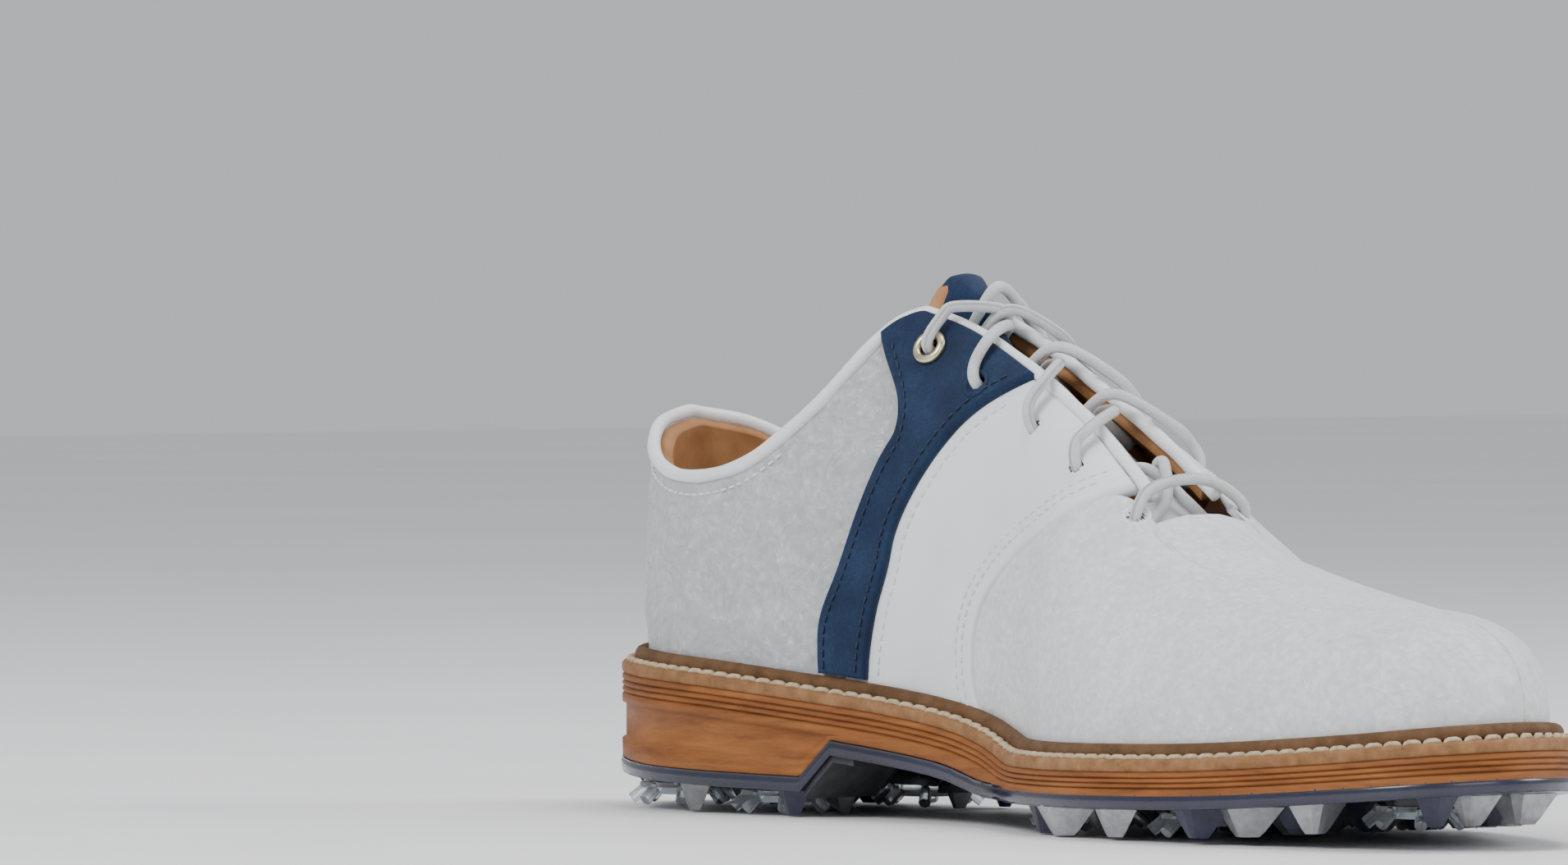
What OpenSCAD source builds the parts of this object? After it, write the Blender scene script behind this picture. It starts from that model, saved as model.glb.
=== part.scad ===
// Golf shoe, left foot: toe towards +X, inner (medial) side towards -Y, ground at Z = 0.

/* [Sole] */
// Length of the sole from heel to toe
sole_l = 304; // [290:1:318]
// Width of the sole across the ball of the foot
ball_w = 104; // [98:1:110]
// Thickness of the outsole at its edge
outsole_t = 3.2; // [2.8:0.1:3.6]
// Thickness of the welt strip that the upper is stitched to
welt_t = 2.8; // [2.4:0.1:3.2]
// Height of the raised rim of the storm welt
storm_h = 3.2; // [2.8:0.1:3.6]
// How far the storm rim stands in from the edge of the sole
storm_in = 3; // [2.5:0.1:3.5]
// Thickness of the footbed
footbed_t = 4.5; // [3:0.5:6]

/* [Upper] */
// Thickness of the leather panels
leather_t = 1.4; // [1:0.1:1.6]
// Thickness of the lining
lining_t = 0.8; // [0.6:0.1:0.9]
// Radius of the rolled piping round the topline
piping_r = 1.5; // [1.2:0.1:1.6]
// Diameter of the lace
lace_d = 2.6; // [2:0.1:2.8]
// Diameter of the punched eyelets
eyelet_d = 5; // [4.5:0.1:5.5]

/* [Cleats] */
// Diameter of the white centre disc
core_d = 16.4; // [15:0.2:17]
// Radius that the leg tips reach to
leg_reach = 12.2; // [11.5:0.1:12.5]
// Diameter of a leg
leg_d = 2.8; // [2.4:0.1:3]
// Diameter of the stem that locks in the receptacle
stem_d = 10.4; // [9:0.2:11]
// Radial running clearance of the stem
stem_clear = 0.05; // [0.03:0.01:0.1]

/* [Hidden] */

medial = -1;
lateral = 1;
gap = 0.35;
fx = sole_l / 304;
fy = ball_w / 104;

// ---- curves ----
function wrap(i, n) = (i % n + n) % n;
function catmull(a, b, c, d, t) =
    0.5 * (2 * b + (c - a) * t + (2 * a - 5 * b + 4 * c - d) * t * t + (3 * b - a - 3 * c + d) * t * t
        * t);
function closed_curve(p, k) = let (n = len(p))
    [for (i = [0:n - 1]) for (j = [0:k - 1])
        catmull(p[wrap(i - 1, n)], p[i], p[wrap(i + 1, n)], p[wrap(i + 2, n)], j / k)];
// Point at v = 0..1 of an open curve through the points p.
function along(p, v) = let (n = len(p) - 1, i = min(n - 1, floor(v * n)), t = v * n - i,
        a = i == 0 ? 2 * p[0] - p[1] : p[i - 1], d = i == n - 1 ? 2 * p[n] - p[n - 1] : p[i + 2])
    catmull(a, p[i], p[i + 1], d, t);
// Height at x of a smooth line through the points of tab.
function cell(tab, x, i = 0) = i >= len(tab) - 2 || x < tab[i + 1][0] ? i : cell(tab, x, i + 1);
function rise(tab, i) = let (lo = max(0, i - 1), hi = min(len(tab) - 1, i + 1))
    (tab[hi][1] - tab[lo][1]) / (tab[hi][0] - tab[lo][0]);
function smooth(tab, x) = let (i = cell(tab, x), h = tab[i + 1][0] - tab[i][0], t = (x - tab[i][0]) / h,
        u = min(1, max(0, t)), y0 = tab[i][1], y1 = tab[i + 1][1])
    y0 + (3 * u * u - 2 * u * u * u) * (y1 - y0) + h * (u * (1 - u) * (1 - u) * rise(tab, i)
        - u * u * (1 - u) * rise(tab, i + 1)) + (t - u) * h * rise(tab, t < 0 ? i : i + 1);
function unit(v) = v / max(norm(v), 1e-9);
function mix(a, b, t) = a + (b - a) * t;

// ---- sole ----
sole_points = [
    [-152, 2], [-146, -13], [-133, -25.5], [-114, -33], [-90, -34], [-66, -30.5], [-42, -27.5],
        [-18, -27.5],
    [2, -33], [22, -44], [46, -51], [70, -52], [94, -49], [118, -44], [137, -37.5], [148.5, -26],
    [152, -13], [146.5, 3], [134, 17], [116, 28], [94, 37.5], [70, 45], [46, 50.5], [22, 52],
    [0, 48.5], [-24, 44], [-48, 41.5], [-72, 41], [-98, 40], [-120, 36.5], [-137, 27.5], [-148, 15]];
outline = [for (p = closed_curve(sole_points, 3)) [p.x * fx, p.y * fy]];
// The outline moved inwards by d.
function inset(d) = let (n = len(outline))
    [for (i = [0:n - 1]) let (t = unit(outline[wrap(i + 1, n)] - outline[wrap(i - 1, n)]))
        outline[i] + d * [-t.y, t.x]];

rim_line = [[-152, 36.5], [-120, 35.3], [-92, 33.8], [-60, 30.9], [-40, 28.9], [-21, 26.4], [-6, 23.6],
    [8, 20.6], [24, 20], [55, 20.4], [85, 21.3], [118, 23.6], [152, 26.8]];
heel_line = [[-152, 12.3], [-120, 10], [-66, 8.7]];
fore_line = [[-57, 17], [-24, 13.2], [-6, 9.8], [8, 9.4], [30, 9.4], [60, 9.8], [90, 10.7], [121, 12.8],
    [152, 15.4]];
breast_x = [-66, -57];
// Top of the storm rim, underside of the midsole and underside of the outsole.
function rim_z(x) = smooth(rim_line, x / fx);
function mid_z(x) = let (r = x / fx) r < breast_x[0] ? smooth(heel_line, r)
    : r < breast_x[1] ? mix(heel_line[2][1], fore_line[0][1],
        (r - breast_x[0]) / (breast_x[1] - breast_x[0]))
    : smooth(fore_line, r);
function out_z(x) = mid_z(x) - outsole_t;
profile_x = [for (x = concat([for (i = [-160:6:-70]) i], breast_x, [for (i = [-50:6:160]) i])) x * fx];
sole_wide = 200;

// Everything between the height lines lo and hi, which are functions of x.
module layer(lo, hi) {
    rotate([90, 0, 0])
        linear_extrude(sole_wide, center = true)
            polygon(concat([for (x = profile_x) [x, lo(x)]],
                [for (i = [len(profile_x) - 1:-1:0]) [profile_x[i], hi(profile_x[i])]]));
}
// The part of that layer between the outline moved in by near and by far.
module ring(near, far, lo, hi) {
    intersection() {
        linear_extrude(60)
            difference() {
                polygon(inset(near));
                polygon(inset(far));
            }
        layer(lo, hi);
    }
}
module slab(near, lo, hi) {
    intersection() {
        linear_extrude(60) polygon(inset(near));
        layer(lo, hi);
    }
}

welt_top = function(x) rim_z(x) - storm_h;
welt_low = function(x) rim_z(x) - storm_h - welt_t;
upper_in = 6;
board_in = 12;

// Central channel from the heel to the waist that the shank bridge lies in.
channel_w = 15;
channel_y = 2;
channel_line = [[-106, 7.4], [-60, 12], [-52, 12.6]];
channel_x = [-106, -52];
function channel_z(x) = smooth(channel_line, x / fx);
module channel(grow) {
    intersection() {
        translate([channel_x[0] * fx - grow, channel_y - channel_w / 2 - grow, -5])
            cube([(channel_x[1] - channel_x[0]) * fx + grow, channel_w + 2 * grow, 50]);
        layer(function(x) -5, function(x) channel_z(x) + grow);
    }
}

// ---- cleats ----
cleat_places = [[-120.5, -17.5], [-85, -17.5], [-124, 20.5], [-88, 26.5], [21, -21.5], [73, -33.5],
    [121.5, -16], [73, 23.5], [18, 34]];
cleat_n = len(cleat_places);
legs = 8;
pad_r = 9.6;
pad_stands = 0.9;
pad_depth = 1.6;
stem_h = 2.2;
skirt_z = 4;
skirt_t = 1.1;
core_z = 2.3;
leg_root = 8.6;
leg_top = 4.1;
leg_low = 1.1;
flat_z = 6.2;
stem_top = skirt_z + skirt_t + stem_h;
function place(i) = [cleat_places[i].x * fx, cleat_places[i].y * fy];
// Height of the ground under a cleat: the sole curves up towards toe and heel.
function lift_at(x) = max(0, out_z(x) - flat_z);
function lift(i) = lift_at(place(i).x);

module at_cleat(i) {
    translate([place(i).x, place(i).y, lift(i)]) children();
}
module pad_solid(r) {
    translate([0, 0, flat_z - pad_stands]) cylinder(h = pad_stands + pad_depth, r = r, $fn = 64);
}
// The skirt is scalloped: a disc with a rounded lobe between every two legs.
module cleat(i) {
    color([0.86, 0.9, 0.94, 0.55]) at_cleat(i) {
        translate([0, 0, skirt_z]) {
            linear_extrude(skirt_t) {
                circle(r = 9.4, $fn = 24);
                for (k = [0:legs - 1])
                    rotate((k + 0.5) * 360 / legs) translate([7.6, 0]) circle(r = 3.3, $fn = 16);
            }
            translate([0, 0, skirt_t - 0.1]) cylinder(h = stem_h + 0.1, d = stem_d, $fn = 64);
        }
        for (k = [0:legs - 1])
            rotate([0, 0, k * 360 / legs]) cleat_leg();
    }
}
// A leg is a straight eight-sided rod leaning outwards.
module cleat_leg() {
    run = leg_reach - leg_root;
    drop = leg_top - leg_low;
    translate([leg_root, 0, leg_top]) rotate([0, 180 - atan2(run, drop), 0])
        cylinder(h = norm([run, drop]), d = leg_d, $fn = 8);
}
module cleat_core(i) {
    color("white") at_cleat(i) {
        difference() {
            translate([0, 0, core_z]) cylinder(h = skirt_z - core_z, d = core_d - 2 * leg_d + 2.2,
                $fn = 64);
            for (k = [0:legs - 1])
                rotate([0, 0, k * 360 / legs]) translate([4.4, 0, core_z - 1])
                    cylinder(h = 1.5, r = 0.6, $fn = 24);
        }
    }
}
module cleat_receptacles() {
    color([0.1, 0.1, 0.13]) for (i = [0:cleat_n - 1]) at_cleat(i)
        difference() {
            pad_solid(pad_r);
            translate([0, 0, flat_z - pad_stands - 1])
                cylinder(h = stem_top + 0.2 - (flat_z - pad_stands - 1), d = stem_d + 2 * stem_clear,
                    $fn = 64);
        }
}

// ---- outsole and what is on it ----
module outsole() {
    color([0.1, 0.11, 0.2]) difference() {
        union() {
            slab(0, function(x) out_z(x), function(x) mid_z(x));
            intersection() {
                channel(2);
                layer(function(x) out_z(x), function(x) 60);
            }
        }
        channel(0);
        for (i = [0:cleat_n - 1]) at_cleat(i) pad_solid(pad_r);
    }
}
module midsole() {
    color([0.72, 0.42, 0.2]) difference() {
        slab(0, function(x) mid_z(x), welt_low);
        channel(2);
        for (i = [0:cleat_n - 1]) at_cleat(i) pad_solid(pad_r);
    }
}
// Lug: x, y, direction of its point, length, width. Its foot is a kite and its tip is cut flat.
forefoot_silver = [
    [39, -45, 8, 14, 7], [57, -46, -5, 12, 7], [40, -33.5, 5, 14, 7], [45, -17, 8, 14, 8],
    [94, -41.5, 25, 13, 8], [112, -38.5, 70, 11, 8], [60, -13, 15, 15, 9], [91, -24, 60, 16, 9],
    [77, -4, 50, 15, 9], [96, -7, 60, 15, 9], [37, -4, 5, 13, 8], [56, 3, 30, 16, 8],
    [38, 10, 25, 13, 8], [94, 9, 50, 15, 9], [112, 5, 60, 14, 8], [135, -1, 60, 12, 8],
    [52, 16, 25, 14, 8], [110, 19, 55, 14, 8], [94, 27, 40, 13, 8], [47, 31, 30, 15, 8],
    [40, 44, 5, 13, 6], [58, 39.5, 20, 13, 7], [77, 40, 25, 10, 4], [4, 20, 30, 13, 8],
    [-8, 14.5, 0, 12, 6], [20, -2.8, 0, 12, 6.2], [3, -14, 20, 11, 7], [136, -16, 50, 10, 8],
    [126, 9, 60, 11, 7]];
forefoot_dark = [
    [28, -40.5, 0, 10, 5], [48, -38, 0, 9, 5], [55, -26.5, 10, 10, 5], [84, -46.5, 20, 11, 5],
    [102, -33, 60, 12, 6], [76, -16.5, 40, 11, 6], [105, -15.5, 60, 11, 6], [49, -6, 20, 10, 5],
    [67, 2, 40, 11, 5], [86, 3.5, 50, 10, 5], [104.5, -1.5, 60, 10, 5], [102, 13, 55, 9, 4],
    [30, 18, 25, 11, 5], [9, 10.8, 10, 9, 3.5], [123, 1, 60, 10, 5], [60, 28, 25, 9, 5],
    [28, -7, 0, 9, 5], [137, -27, 70, 8, 5], [85, 35, 30, 10, 4], [30, 49, 0, 10, 3]];
heel_silver = [[-104, -13, 10, 12, 8], [-104, 14, 60, 13, 8], [-73.5, 23, -60, 9, 7],
    [-110, 34.5, 15, 11, 5],
    [-132, 2, 75, 12, 7], [-71, -13, 15, 6, 6], [-104, -29, 0, 9, 5]];
heel_dark = [[-141, -9, 60, 10, 7], [-144, 3, 90, 10, 7], [-141, 15, 120, 10, 7], [-136, 25, 135, 7, 5],
    [-72, -27, 0, 9, 5], [-106, 25, 40, 11, 5], [-73, 36, 0, 9, 5], [-112, 2, 90, 11, 5]];
lug_tip = 0.4;
lug_root = 2.5;
cleat_room = 0.6;

module lug(p) {
    h = flat_z + lug_root;
    translate([p[0] * fx, p[1] * fy, lift_at(p[0] * fx)])
        rotate([0, 0, p[2]]) mirror([0, 0, 1]) translate([0, 0, -h])
            linear_extrude(h, scale = lug_tip) scale([1.2, 1.5])
                polygon([[-p[3] * 0.45, 0], [-p[3] * 0.05, -p[4] / 2], [p[3] * 0.55, 0],
                    [-p[3] * 0.05, p[4] / 2]]);
}
// The lugs stay clear of the cleats' legs, which sweep a circle when a cleat is turned.
module lugs(list) {
    difference() {
        intersection() {
            for (p = list) lug(p);
            slab(0.6, function(x) -1, function(x) out_z(x));
        }
        for (i = [0:cleat_n - 1])
            translate(place(i)) cylinder(h = 30, r = leg_reach + leg_d / 2 + cleat_room, $fn = 64);
    }
}
module forefoot_lugs_silver() { color([0.62, 0.63, 0.65]) lugs(forefoot_silver); }
module forefoot_lugs_dark() { color([0.14, 0.14, 0.22]) lugs(forefoot_dark); }
module heel_lugs_silver() { color([0.5, 0.5, 0.52]) lugs(heel_silver); }
module heel_lugs_dark() { color([0.16, 0.16, 0.18]) lugs(heel_dark); }

module breast_block(x0, y0, y1) {
    intersection() {
        translate([x0 * fx, y0, 0]) cube([15, y1 - y0, 30]);
        slab(1, function(x) out_z(x) - 1.6, function(x) out_z(x));
    }
}
module breast_blocks() {
    color([0.2, 0.2, 0.22]) {
        breast_block(-66, -29, -8);
        breast_block(-68, 12, 38);
    }
}
shank_thick = 1.8;
shank_plan = [[-100, 1], [-60, -2.5], [-55, -6], [-16, -6], [-11, -2.5], [24, 2.4], [24, 4.4],
    [-11, 9], [-16, 12],
    [-55, 12], [-60, 7], [-100, 3]];
module shank_outline() {
    polygon([for (p = shank_plan) [p.x * fx, p.y]]);
}
window_x = [-52, -19];
window_y = 3;
window_r = 4;
module window_shape(grow) {
    for (x = window_x) translate([x * fx, window_y]) circle(r = window_r + grow, $fn = 48);
    translate([window_x[0] * fx, window_y - window_r - grow])
        square([(window_x[1] - window_x[0]) * fx, 2 * (window_r + grow)]);
}
// Surface that the bridge lies against: the roof of the channel, then the waist.
function seat_z(x) = x < channel_x[1] * fx ? min(channel_z(x), mid_z(x) + 20) : out_z(x);
module shank_bridge() {
    color([0.35, 0.38, 0.4]) intersection() {
        linear_extrude(60) difference() {
            shank_outline();
            window_shape(0);
        }
        layer(function(x) seat_z(x) - shank_thick, function(x) seat_z(x));
    }
}
module shank_window() {
    color([0.08, 0.08, 0.1]) intersection() {
        linear_extrude(60) window_shape(-0.05);
        layer(function(x) seat_z(x) - 1, function(x) seat_z(x));
    }
}

// ---- welt and insole ----
module welt_strip() { color([0.66, 0.42, 0.24]) ring(0, 12, welt_low, welt_top); }
module storm_welt() { color([0.45, 0.28, 0.16]) ring(storm_in, upper_in - 0.3, welt_top,
    function(x) rim_z(x)); }
module welt_stitch() {
    color("white") ring(storm_in - 1.6, storm_in - 0.1, welt_top, function(x) rim_z(x) - storm_h + 1);
}
shank_spring_w = 13;
module spring_space(grow) {
    intersection() {
        translate([-95 * fx, 4 - shank_spring_w / 2 - grow, 0])
            cube([90 * fx, shank_spring_w + 2 * grow, 60]);
        layer(function(x) rim_z(x) - storm_h - 2.1 - grow, function(x) rim_z(x) - storm_h - 0.6 + grow);
    }
}
module cork_filler() {
    color([0.6, 0.45, 0.3]) difference() {
        slab(12.2, welt_low, function(x) rim_z(x) - storm_h - 0.05);
        spring_space(0);
    }
}
module shank_spring() { color("silver") spring_space(-0.05); }
module lasting_board() {
    color([0.75, 0.66, 0.5]) slab(board_in, welt_top, function(x) rim_z(x) - storm_h + 2);
}
module footbed() {
    color([0.2, 0.22, 0.28]) slab(board_in + 0.4, function(x) rim_z(x) - storm_h + 2.1,
        function(x) rim_z(x) - storm_h + 2.1 + footbed_t);
}
module heel_pad() {
    color([0.7, 0.5, 0.32]) intersection() {
        translate([-108 * fx, 3, 0]) cylinder(h = 80, r = 19, $fn = 64);
        layer(function(x) rim_z(x) - storm_h + 2.2 + footbed_t,
            function(x) rim_z(x) - storm_h + 3.2 + footbed_t);
    }
}

// ---- last: the surface that the upper is pulled over ----
// A place on it is a position g along the foot, which is x between the two centres, and a height z
// or an angle t = 0 (feather edge) .. 1 (ridge). Behind the heel centre and before the toe centre
// the planes of the profiles turn about a vertical axis.
heel_c = -112;
toe_c = 104;
g_heel = -167;
g_toe = 164;
spine = [[-112, 3], [-70, 3], [-35, 1.5], [0, -2], [30, -4], [70, -8], [104, -9]];
ridge_line = [[-112, 138], [-85, 136], [-62, 126], [-50, 117], [-40, 112.5], [-30, 108.5], [-20, 104.5],
    [-8, 98.8], [5, 92.5], [20, 84], [33, 75], [40, 69.8], [45, 66], [52, 62.5], [66, 58.3], [78, 55],
        [92, 52],
    [104, 50]];
round_medial = [[-112, 1.1], [-70, 1.05], [-45, 1.12], [-20, 1.12], [20, 1.1], [35, 1.05], [50, 0.95],
    [70, 0.85],
    [104, 0.74]];
round_lateral = [[-112, 1.1], [-70, 1.15], [-45, 1.35], [-20, 1.55], [10, 1.7], [30, 1.6], [45, 1.35],
    [60, 1.1],
    [75, 0.92], [90, 0.8], [104, 0.74]];
bulge_line = [[-112, 0.1], [-60, 0.1], [-20, 0.12], [10, 0.1], [60, 0.03], [104, 0.03]];
feather = inset(upper_in);

function hit(o, d) = let (n = len(feather))
    max([for (i = [0:n - 1]) let (a = feather[i] - o, e = feather[wrap(i + 1, n)] - feather[i],
            den = d.x * e.y - d.y * e.x, r = abs(den) < 1e-9 ? -1 : (a.x * e.y - a.y * e.x) / den,
            k = abs(den) < 1e-9 ? -1 : (a.x * d.y - a.y * d.x) / den) k >= 0 && k <= 1 ? r : 0]);
// Profile plane at g: origin, direction, half width, feather height, ridge height, roundness, bulge.
function plane(side, g) = let (c = min(toe_c, max(heel_c, g)), o = [c * fx, smooth(spine, c) * fy],
        turn = g < heel_c ? 90 + 90 * (heel_c - g) / (heel_c - g_heel)
            : g > toe_c ? 90 - 90 * (g - toe_c) / (g_toe - toe_c) : 90,
        d = [cos(turn), side * sin(turn)], w = hit(o, d))
    [o, d, w, rim_z(o.x + d.x * w) - storm_h + 0.2, smooth(ridge_line, c),
     smooth(side == medial ? round_medial : round_lateral, c), smooth(bulge_line, c)];
function on_plane(p, t) = let (a = 90 * min(1, max(0, t)),
        w = p[2] * (pow(cos(a), p[5]) + p[6] * sin(2 * a)),
            z = mix(p[3], p[4], pow(sin(a), min(1, p[5]))))
    [p[0].x + p[1].x * w, p[0].y + p[1].y * w, z];
function t_at(p, z) = let (f = min(1, max(0, (z - p[3]) / (p[4] - p[3]))))
    asin(pow(f, 1 / min(1, p[5]))) / 90;
// Point at g and t, moved outwards by d: the whole profile grows by d in width and height.
function grown(p, d) = [p[0], p[1], p[2] + d, p[3], p[4] + d, p[5], p[6]];
function skin(side, g, t, d) = on_plane(grown(plane(side, g), d), t);
function skin_z(side, p, d) = skin(side, p[0], t_at(plane(side, p[0]), p[1]), d);

// ---- closed shells ----
// outer and inner are rows of points of the same size; idx merges points that coincide.
function quads(nu, nv, flip, off, f) = [for (i = [0:nu - 2]) for (j = [0:nv - 2])
    let (a = f(i, j) + off, b = f(i + 1, j) + off, c = f(i + 1, j + 1) + off, e = f(i, j + 1) + off)
    for (q = flip ? [[a, c, b], [a, e, c]] : [[a, b, c], [a, c, e]])
        if (q[0] != q[1] && q[1] != q[2] && q[0] != q[2]) q];
function strip(line, off, flip) = [for (i = [0:len(line) - 2]) let (a = line[i], b = line[i + 1])
    for (q = flip ? [[a, b + off, b], [a, a + off, b + off]] : [[a, b, b + off], [a, b + off, a + off]])
        if (a != b) q];
module shell(outer, inner, f, edges) {
    nu = len(outer);
    nv = len(outer[0]);
    m = nu * nv;
    polyhedron(points = concat([for (r = outer) each r], [for (r = inner) each r]),
        faces = concat(quads(nu, nv, false, 0, f), quads(nu, nv, true, m, f),
            [for (e = edges) each strip(e, m, true)]));
}
// Shell with four free edges from a function of (i, j, depth).
module sheet(nu, nv, point, d0, d1, turned = false) {
    f = turned ? function(i, j) (nu - 1 - i) * nv + j : function(i, j) i * nv + j;
    loop = concat([for (i = [0:nu - 1]) f(i, 0)], [for (j = [1:nv - 1]) f(nu - 1, j)],
        [for (i = [nu - 2:-1:0]) f(i, nv - 1)], [for (j = [nv - 2:-1:0]) f(0, j)]);
    shell([for (i = [0:nu - 1]) [for (j = [0:nv - 1]) point(i, j, d0)]],
        [for (i = [0:nu - 1]) [for (j = [0:nv - 1]) point(i, j, d1)]], f, [loop]);
}
// Blend of four edge curves in (g, z): left and right run upwards, low and high run forwards.
function coons(left, right, low, high, u, v) = let (l = along(left, v), r = along(right, v),
        b = along(low, u), t = along(high, u))
    mix(l, r, u) + mix(b, t, v) - mix(mix(left[0], right[0], u), mix(left[len(left) - 1],
        right[len(right) - 1], u), v);

// ---- pattern lines, as (g, z) ----
topline = [[-167, 89], [-150, 86], [-132, 79.5], [-114, 75.5], [-100, 75.5], [-86, 79.5], [-70.5, 91],
    [-62.5, 100], [-57, 107], [-54, 110], [-50, 112]];
throat = [[-50, 112], [-36, 108], [-24, 103.5], [-13, 98.8], [-4, 94.6], [5, 90.2], [15, 85],
    [25, 78.8], [33, 73.2],
    [40, 68]];
stripe_back = [[-64.6, 31], [-64.7, 36], [-63.8, 43.7], [-58.6, 54.6], [-54, 66.8], [-50, 76.6],
    [-46.4, 83.5],
    [-47.5, 91], [-54, 100.5], [-57, 105]];
stripe_front = [[-51.4, 30], [-50.5, 37], [-48.4, 46], [-45.5, 54.7], [-43.5, 63.6], [-39, 72.6],
    [-32, 82.4],
    [-24, 90.5], [-12, 98]];
saddle_back = [[-58, 30], [-57.6, 37], [-56, 45], [-52, 55], [-48.5, 66], [-44.5, 75], [-40, 83.5],
    [-39, 92],
    [-42.5, 101], [-44, 109]];
vamp_seam = [[-14.8, 24], [-17.3, 30.6], [-17.7, 38], [-16.5, 44.3], [-12.9, 50.6], [-4.2, 58],
    [7.5, 64.3],
    [18.5, 70], [29, 75]];
throat_end = 43;
edge_drop = 2.6;
eyelets = [[-43, 103], [-26, 95.5], [-5, 86.5], [15, 78], [35.5, 68.5]];

function edge_z(g) = g < topline[len(topline) - 1][0] ? smooth(topline, g) : smooth(throat, g);
// The curve c with its lower end on the feather edge, its upper end at the topline, moved by dg.
function between(side, c, dg = 0, foot = 0) = let (n = len(c) - 1)
    [for (i = [0:n]) let (g = c[i][0] + dg)
        [g, i == 0 ? plane(side, g)[3] + foot : i == n ? edge_z(g) - edge_drop : c[i][1]]];
function low_edge(side, g0, g1, foot) = [for (k = [0:12]) let (g = mix(g0, g1, k / 12))
    [g, plane(side, g)[3] + foot]];
function high_edge(g0, g1) = [for (k = [0:12]) let (g = mix(g0, g1, k / 12))
    [g, edge_z(g) - edge_drop]];

// ---- upper ----
panel = [0, -leather_t];
stiffener = [-leather_t - gap, -leather_t - gap - 1.5];
lining = [stiffener[1] - gap, stiffener[1] - gap - lining_t];
lace_depth = lining[1] - lace_d / 2 - 0.5;
tongue_top = lace_depth - lace_d / 2 - 0.5;
lace_over = lace_d / 2 + 2;
overlay_foot = storm_h + 0.3;

// Panel on one side between the lines back and front.
module side_panel(side, back, front, nu, nv, depth, foot = 0) {
    n = len(front) - 1;
    low = low_edge(side, back[0][0], front[0][0], foot);
    high = high_edge(back[len(back) - 1][0], front[n][0]);
    sheet(nu, nv, function(i, j, d)
        skin_z(side, coons(back, front, low, high, i / (nu - 1), j / (nv - 1)), d),
        depth[0], depth[1], side == medial);
}
// Panel round the heel, from the line front on the medial side to the same line on the lateral side.
module heel_panel(front, low, high, nh, nv, depth) {
    sheet(2 * nh + 1, nv, function(i, j, d) let (side = i < nh ? medial : lateral, u = abs(i - nh) / nh,
            v = j / (nv - 1), g = mix(g_heel, along(front, v)[0], u))
        skin_z(side, [g, mix(low(side, g), high(g), v)], d), depth[0], depth[1]);
}
// Cap over the toe, from the line back up one side, over the ridge and down the other.
module toe_cap(back, nc, nt, m, depth) {
    nu = nc + nt + 1;
    nv = 2 * m + 1;
    point = function(i, j, d) let (side = j <= m ? medial : lateral, v = 1 - abs(j - m) / m,
            b = along(back, v), t0 = v == 0 ? 0 : v == 1 ? 1 : t_at(plane(side, b[0]), b[1]),
            t1 = pow(v, 1.4), u = min(1, i / nc))
        skin(side, i <= nc ? mix(b[0], toe_c, u) : mix(toe_c, g_toe, (i - nc) / nt), mix(t0, t1, u), d);
    same = function(i, j) (i >= nc && j == m ? nc : i) * nv + (i == nu - 1 && j > m ? 2 * m - j : j);
    f = function(i, j) same(nu - 1 - i, j);
    edge = concat([for (i = [0:nu - 1]) f(i, 0)], [for (j = [1:nv - 1]) f(nu - 1, j)],
        [for (i = [nu - 2:-1:0]) f(i, nv - 1)]);
    shell([for (i = [0:nu - 1]) [for (j = [0:nv - 1]) point(i, j, depth[0])]],
        [for (i = [0:nu - 1]) [for (j = [0:nv - 1]) point(i, j, depth[1])]], f, [edge]);
}
// Outward normal of the skin at p, and the point at depth d on that normal.
function normal(side, p) = let (a = skin_z(side, [p[0] + 1, p[1] - 0.45], 0)
    - skin_z(side, [p[0] - 1, p[1] + 0.45], 0),
        b = skin_z(side, [p[0], p[1] + 1], 0) - skin_z(side, [p[0], p[1] - 1], 0))
    unit(-side * cross(a, b));
function bore_at(side, p, d) = skin_z(side, p, 0) + d * normal(side, p);
module at_eyelet(side, e, d) {
    n = normal(side, e);
    translate(bore_at(side, e, d)) rotate([0, acos(n.z), atan2(n.y, n.x)]) children();
}
module eyelet_bores(side, d) {
    for (e = eyelets) at_eyelet(side, e, 0) cylinder(h = 14, d = d, center = true, $fn = 24);
}
function shifted(c, dg) = [for (p = c) [p[0] + dg, p[1]]];
vamp_edge = concat([for (i = [0:len(vamp_seam) - 2]) [vamp_seam[i][0] + gap, vamp_seam[i][1]]],
    [[33, 71.5], [throat_end, 80]]);
module vamp() {
    color("white") difference() {
        toe_cap(vamp_edge, 12, 6, 8, panel);
        eyelet_bores(medial, eyelet_d);
        eyelet_bores(lateral, eyelet_d);
    }
}
module vamp_lining() {
    color([0.8, 0.62, 0.42]) difference() {
        toe_cap(shifted(vamp_edge, 1), 10, 6, 8, lining);
        eyelet_bores(medial, eyelet_d);
        eyelet_bores(lateral, eyelet_d);
    }
}
module toe_puff() {
    color([0.8, 0.8, 0.75]) toe_cap([[96, 24], [94, 31], [92, 38], [90, 45], [88, 60]], 3, 6, 8,
        [stiffener[0], stiffener[0] - 1]);
}
module quarter(side) {
    color([0.95, 0.95, 0.95]) difference() {
        side_panel(side, [for (z = [34, 52, 70, 86])
            [g_heel + 0.4, z == 34 ? plane(side, g_heel + 0.4)[3]
            : z == 86 ? edge_z(g_heel) - edge_drop : z]], between(side, saddle_back, -gap / 2), 17, 9,
                panel);
        eyelet_bores(side, eyelet_d);
    }
}
module saddle(side) {
    color([0.96, 0.96, 0.97]) difference() {
        side_panel(side, between(side, saddle_back, gap / 2), between(side, vamp_seam, -gap / 2), 9,
            10, panel);
        eyelet_bores(side, eyelet_d);
    }
}
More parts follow.
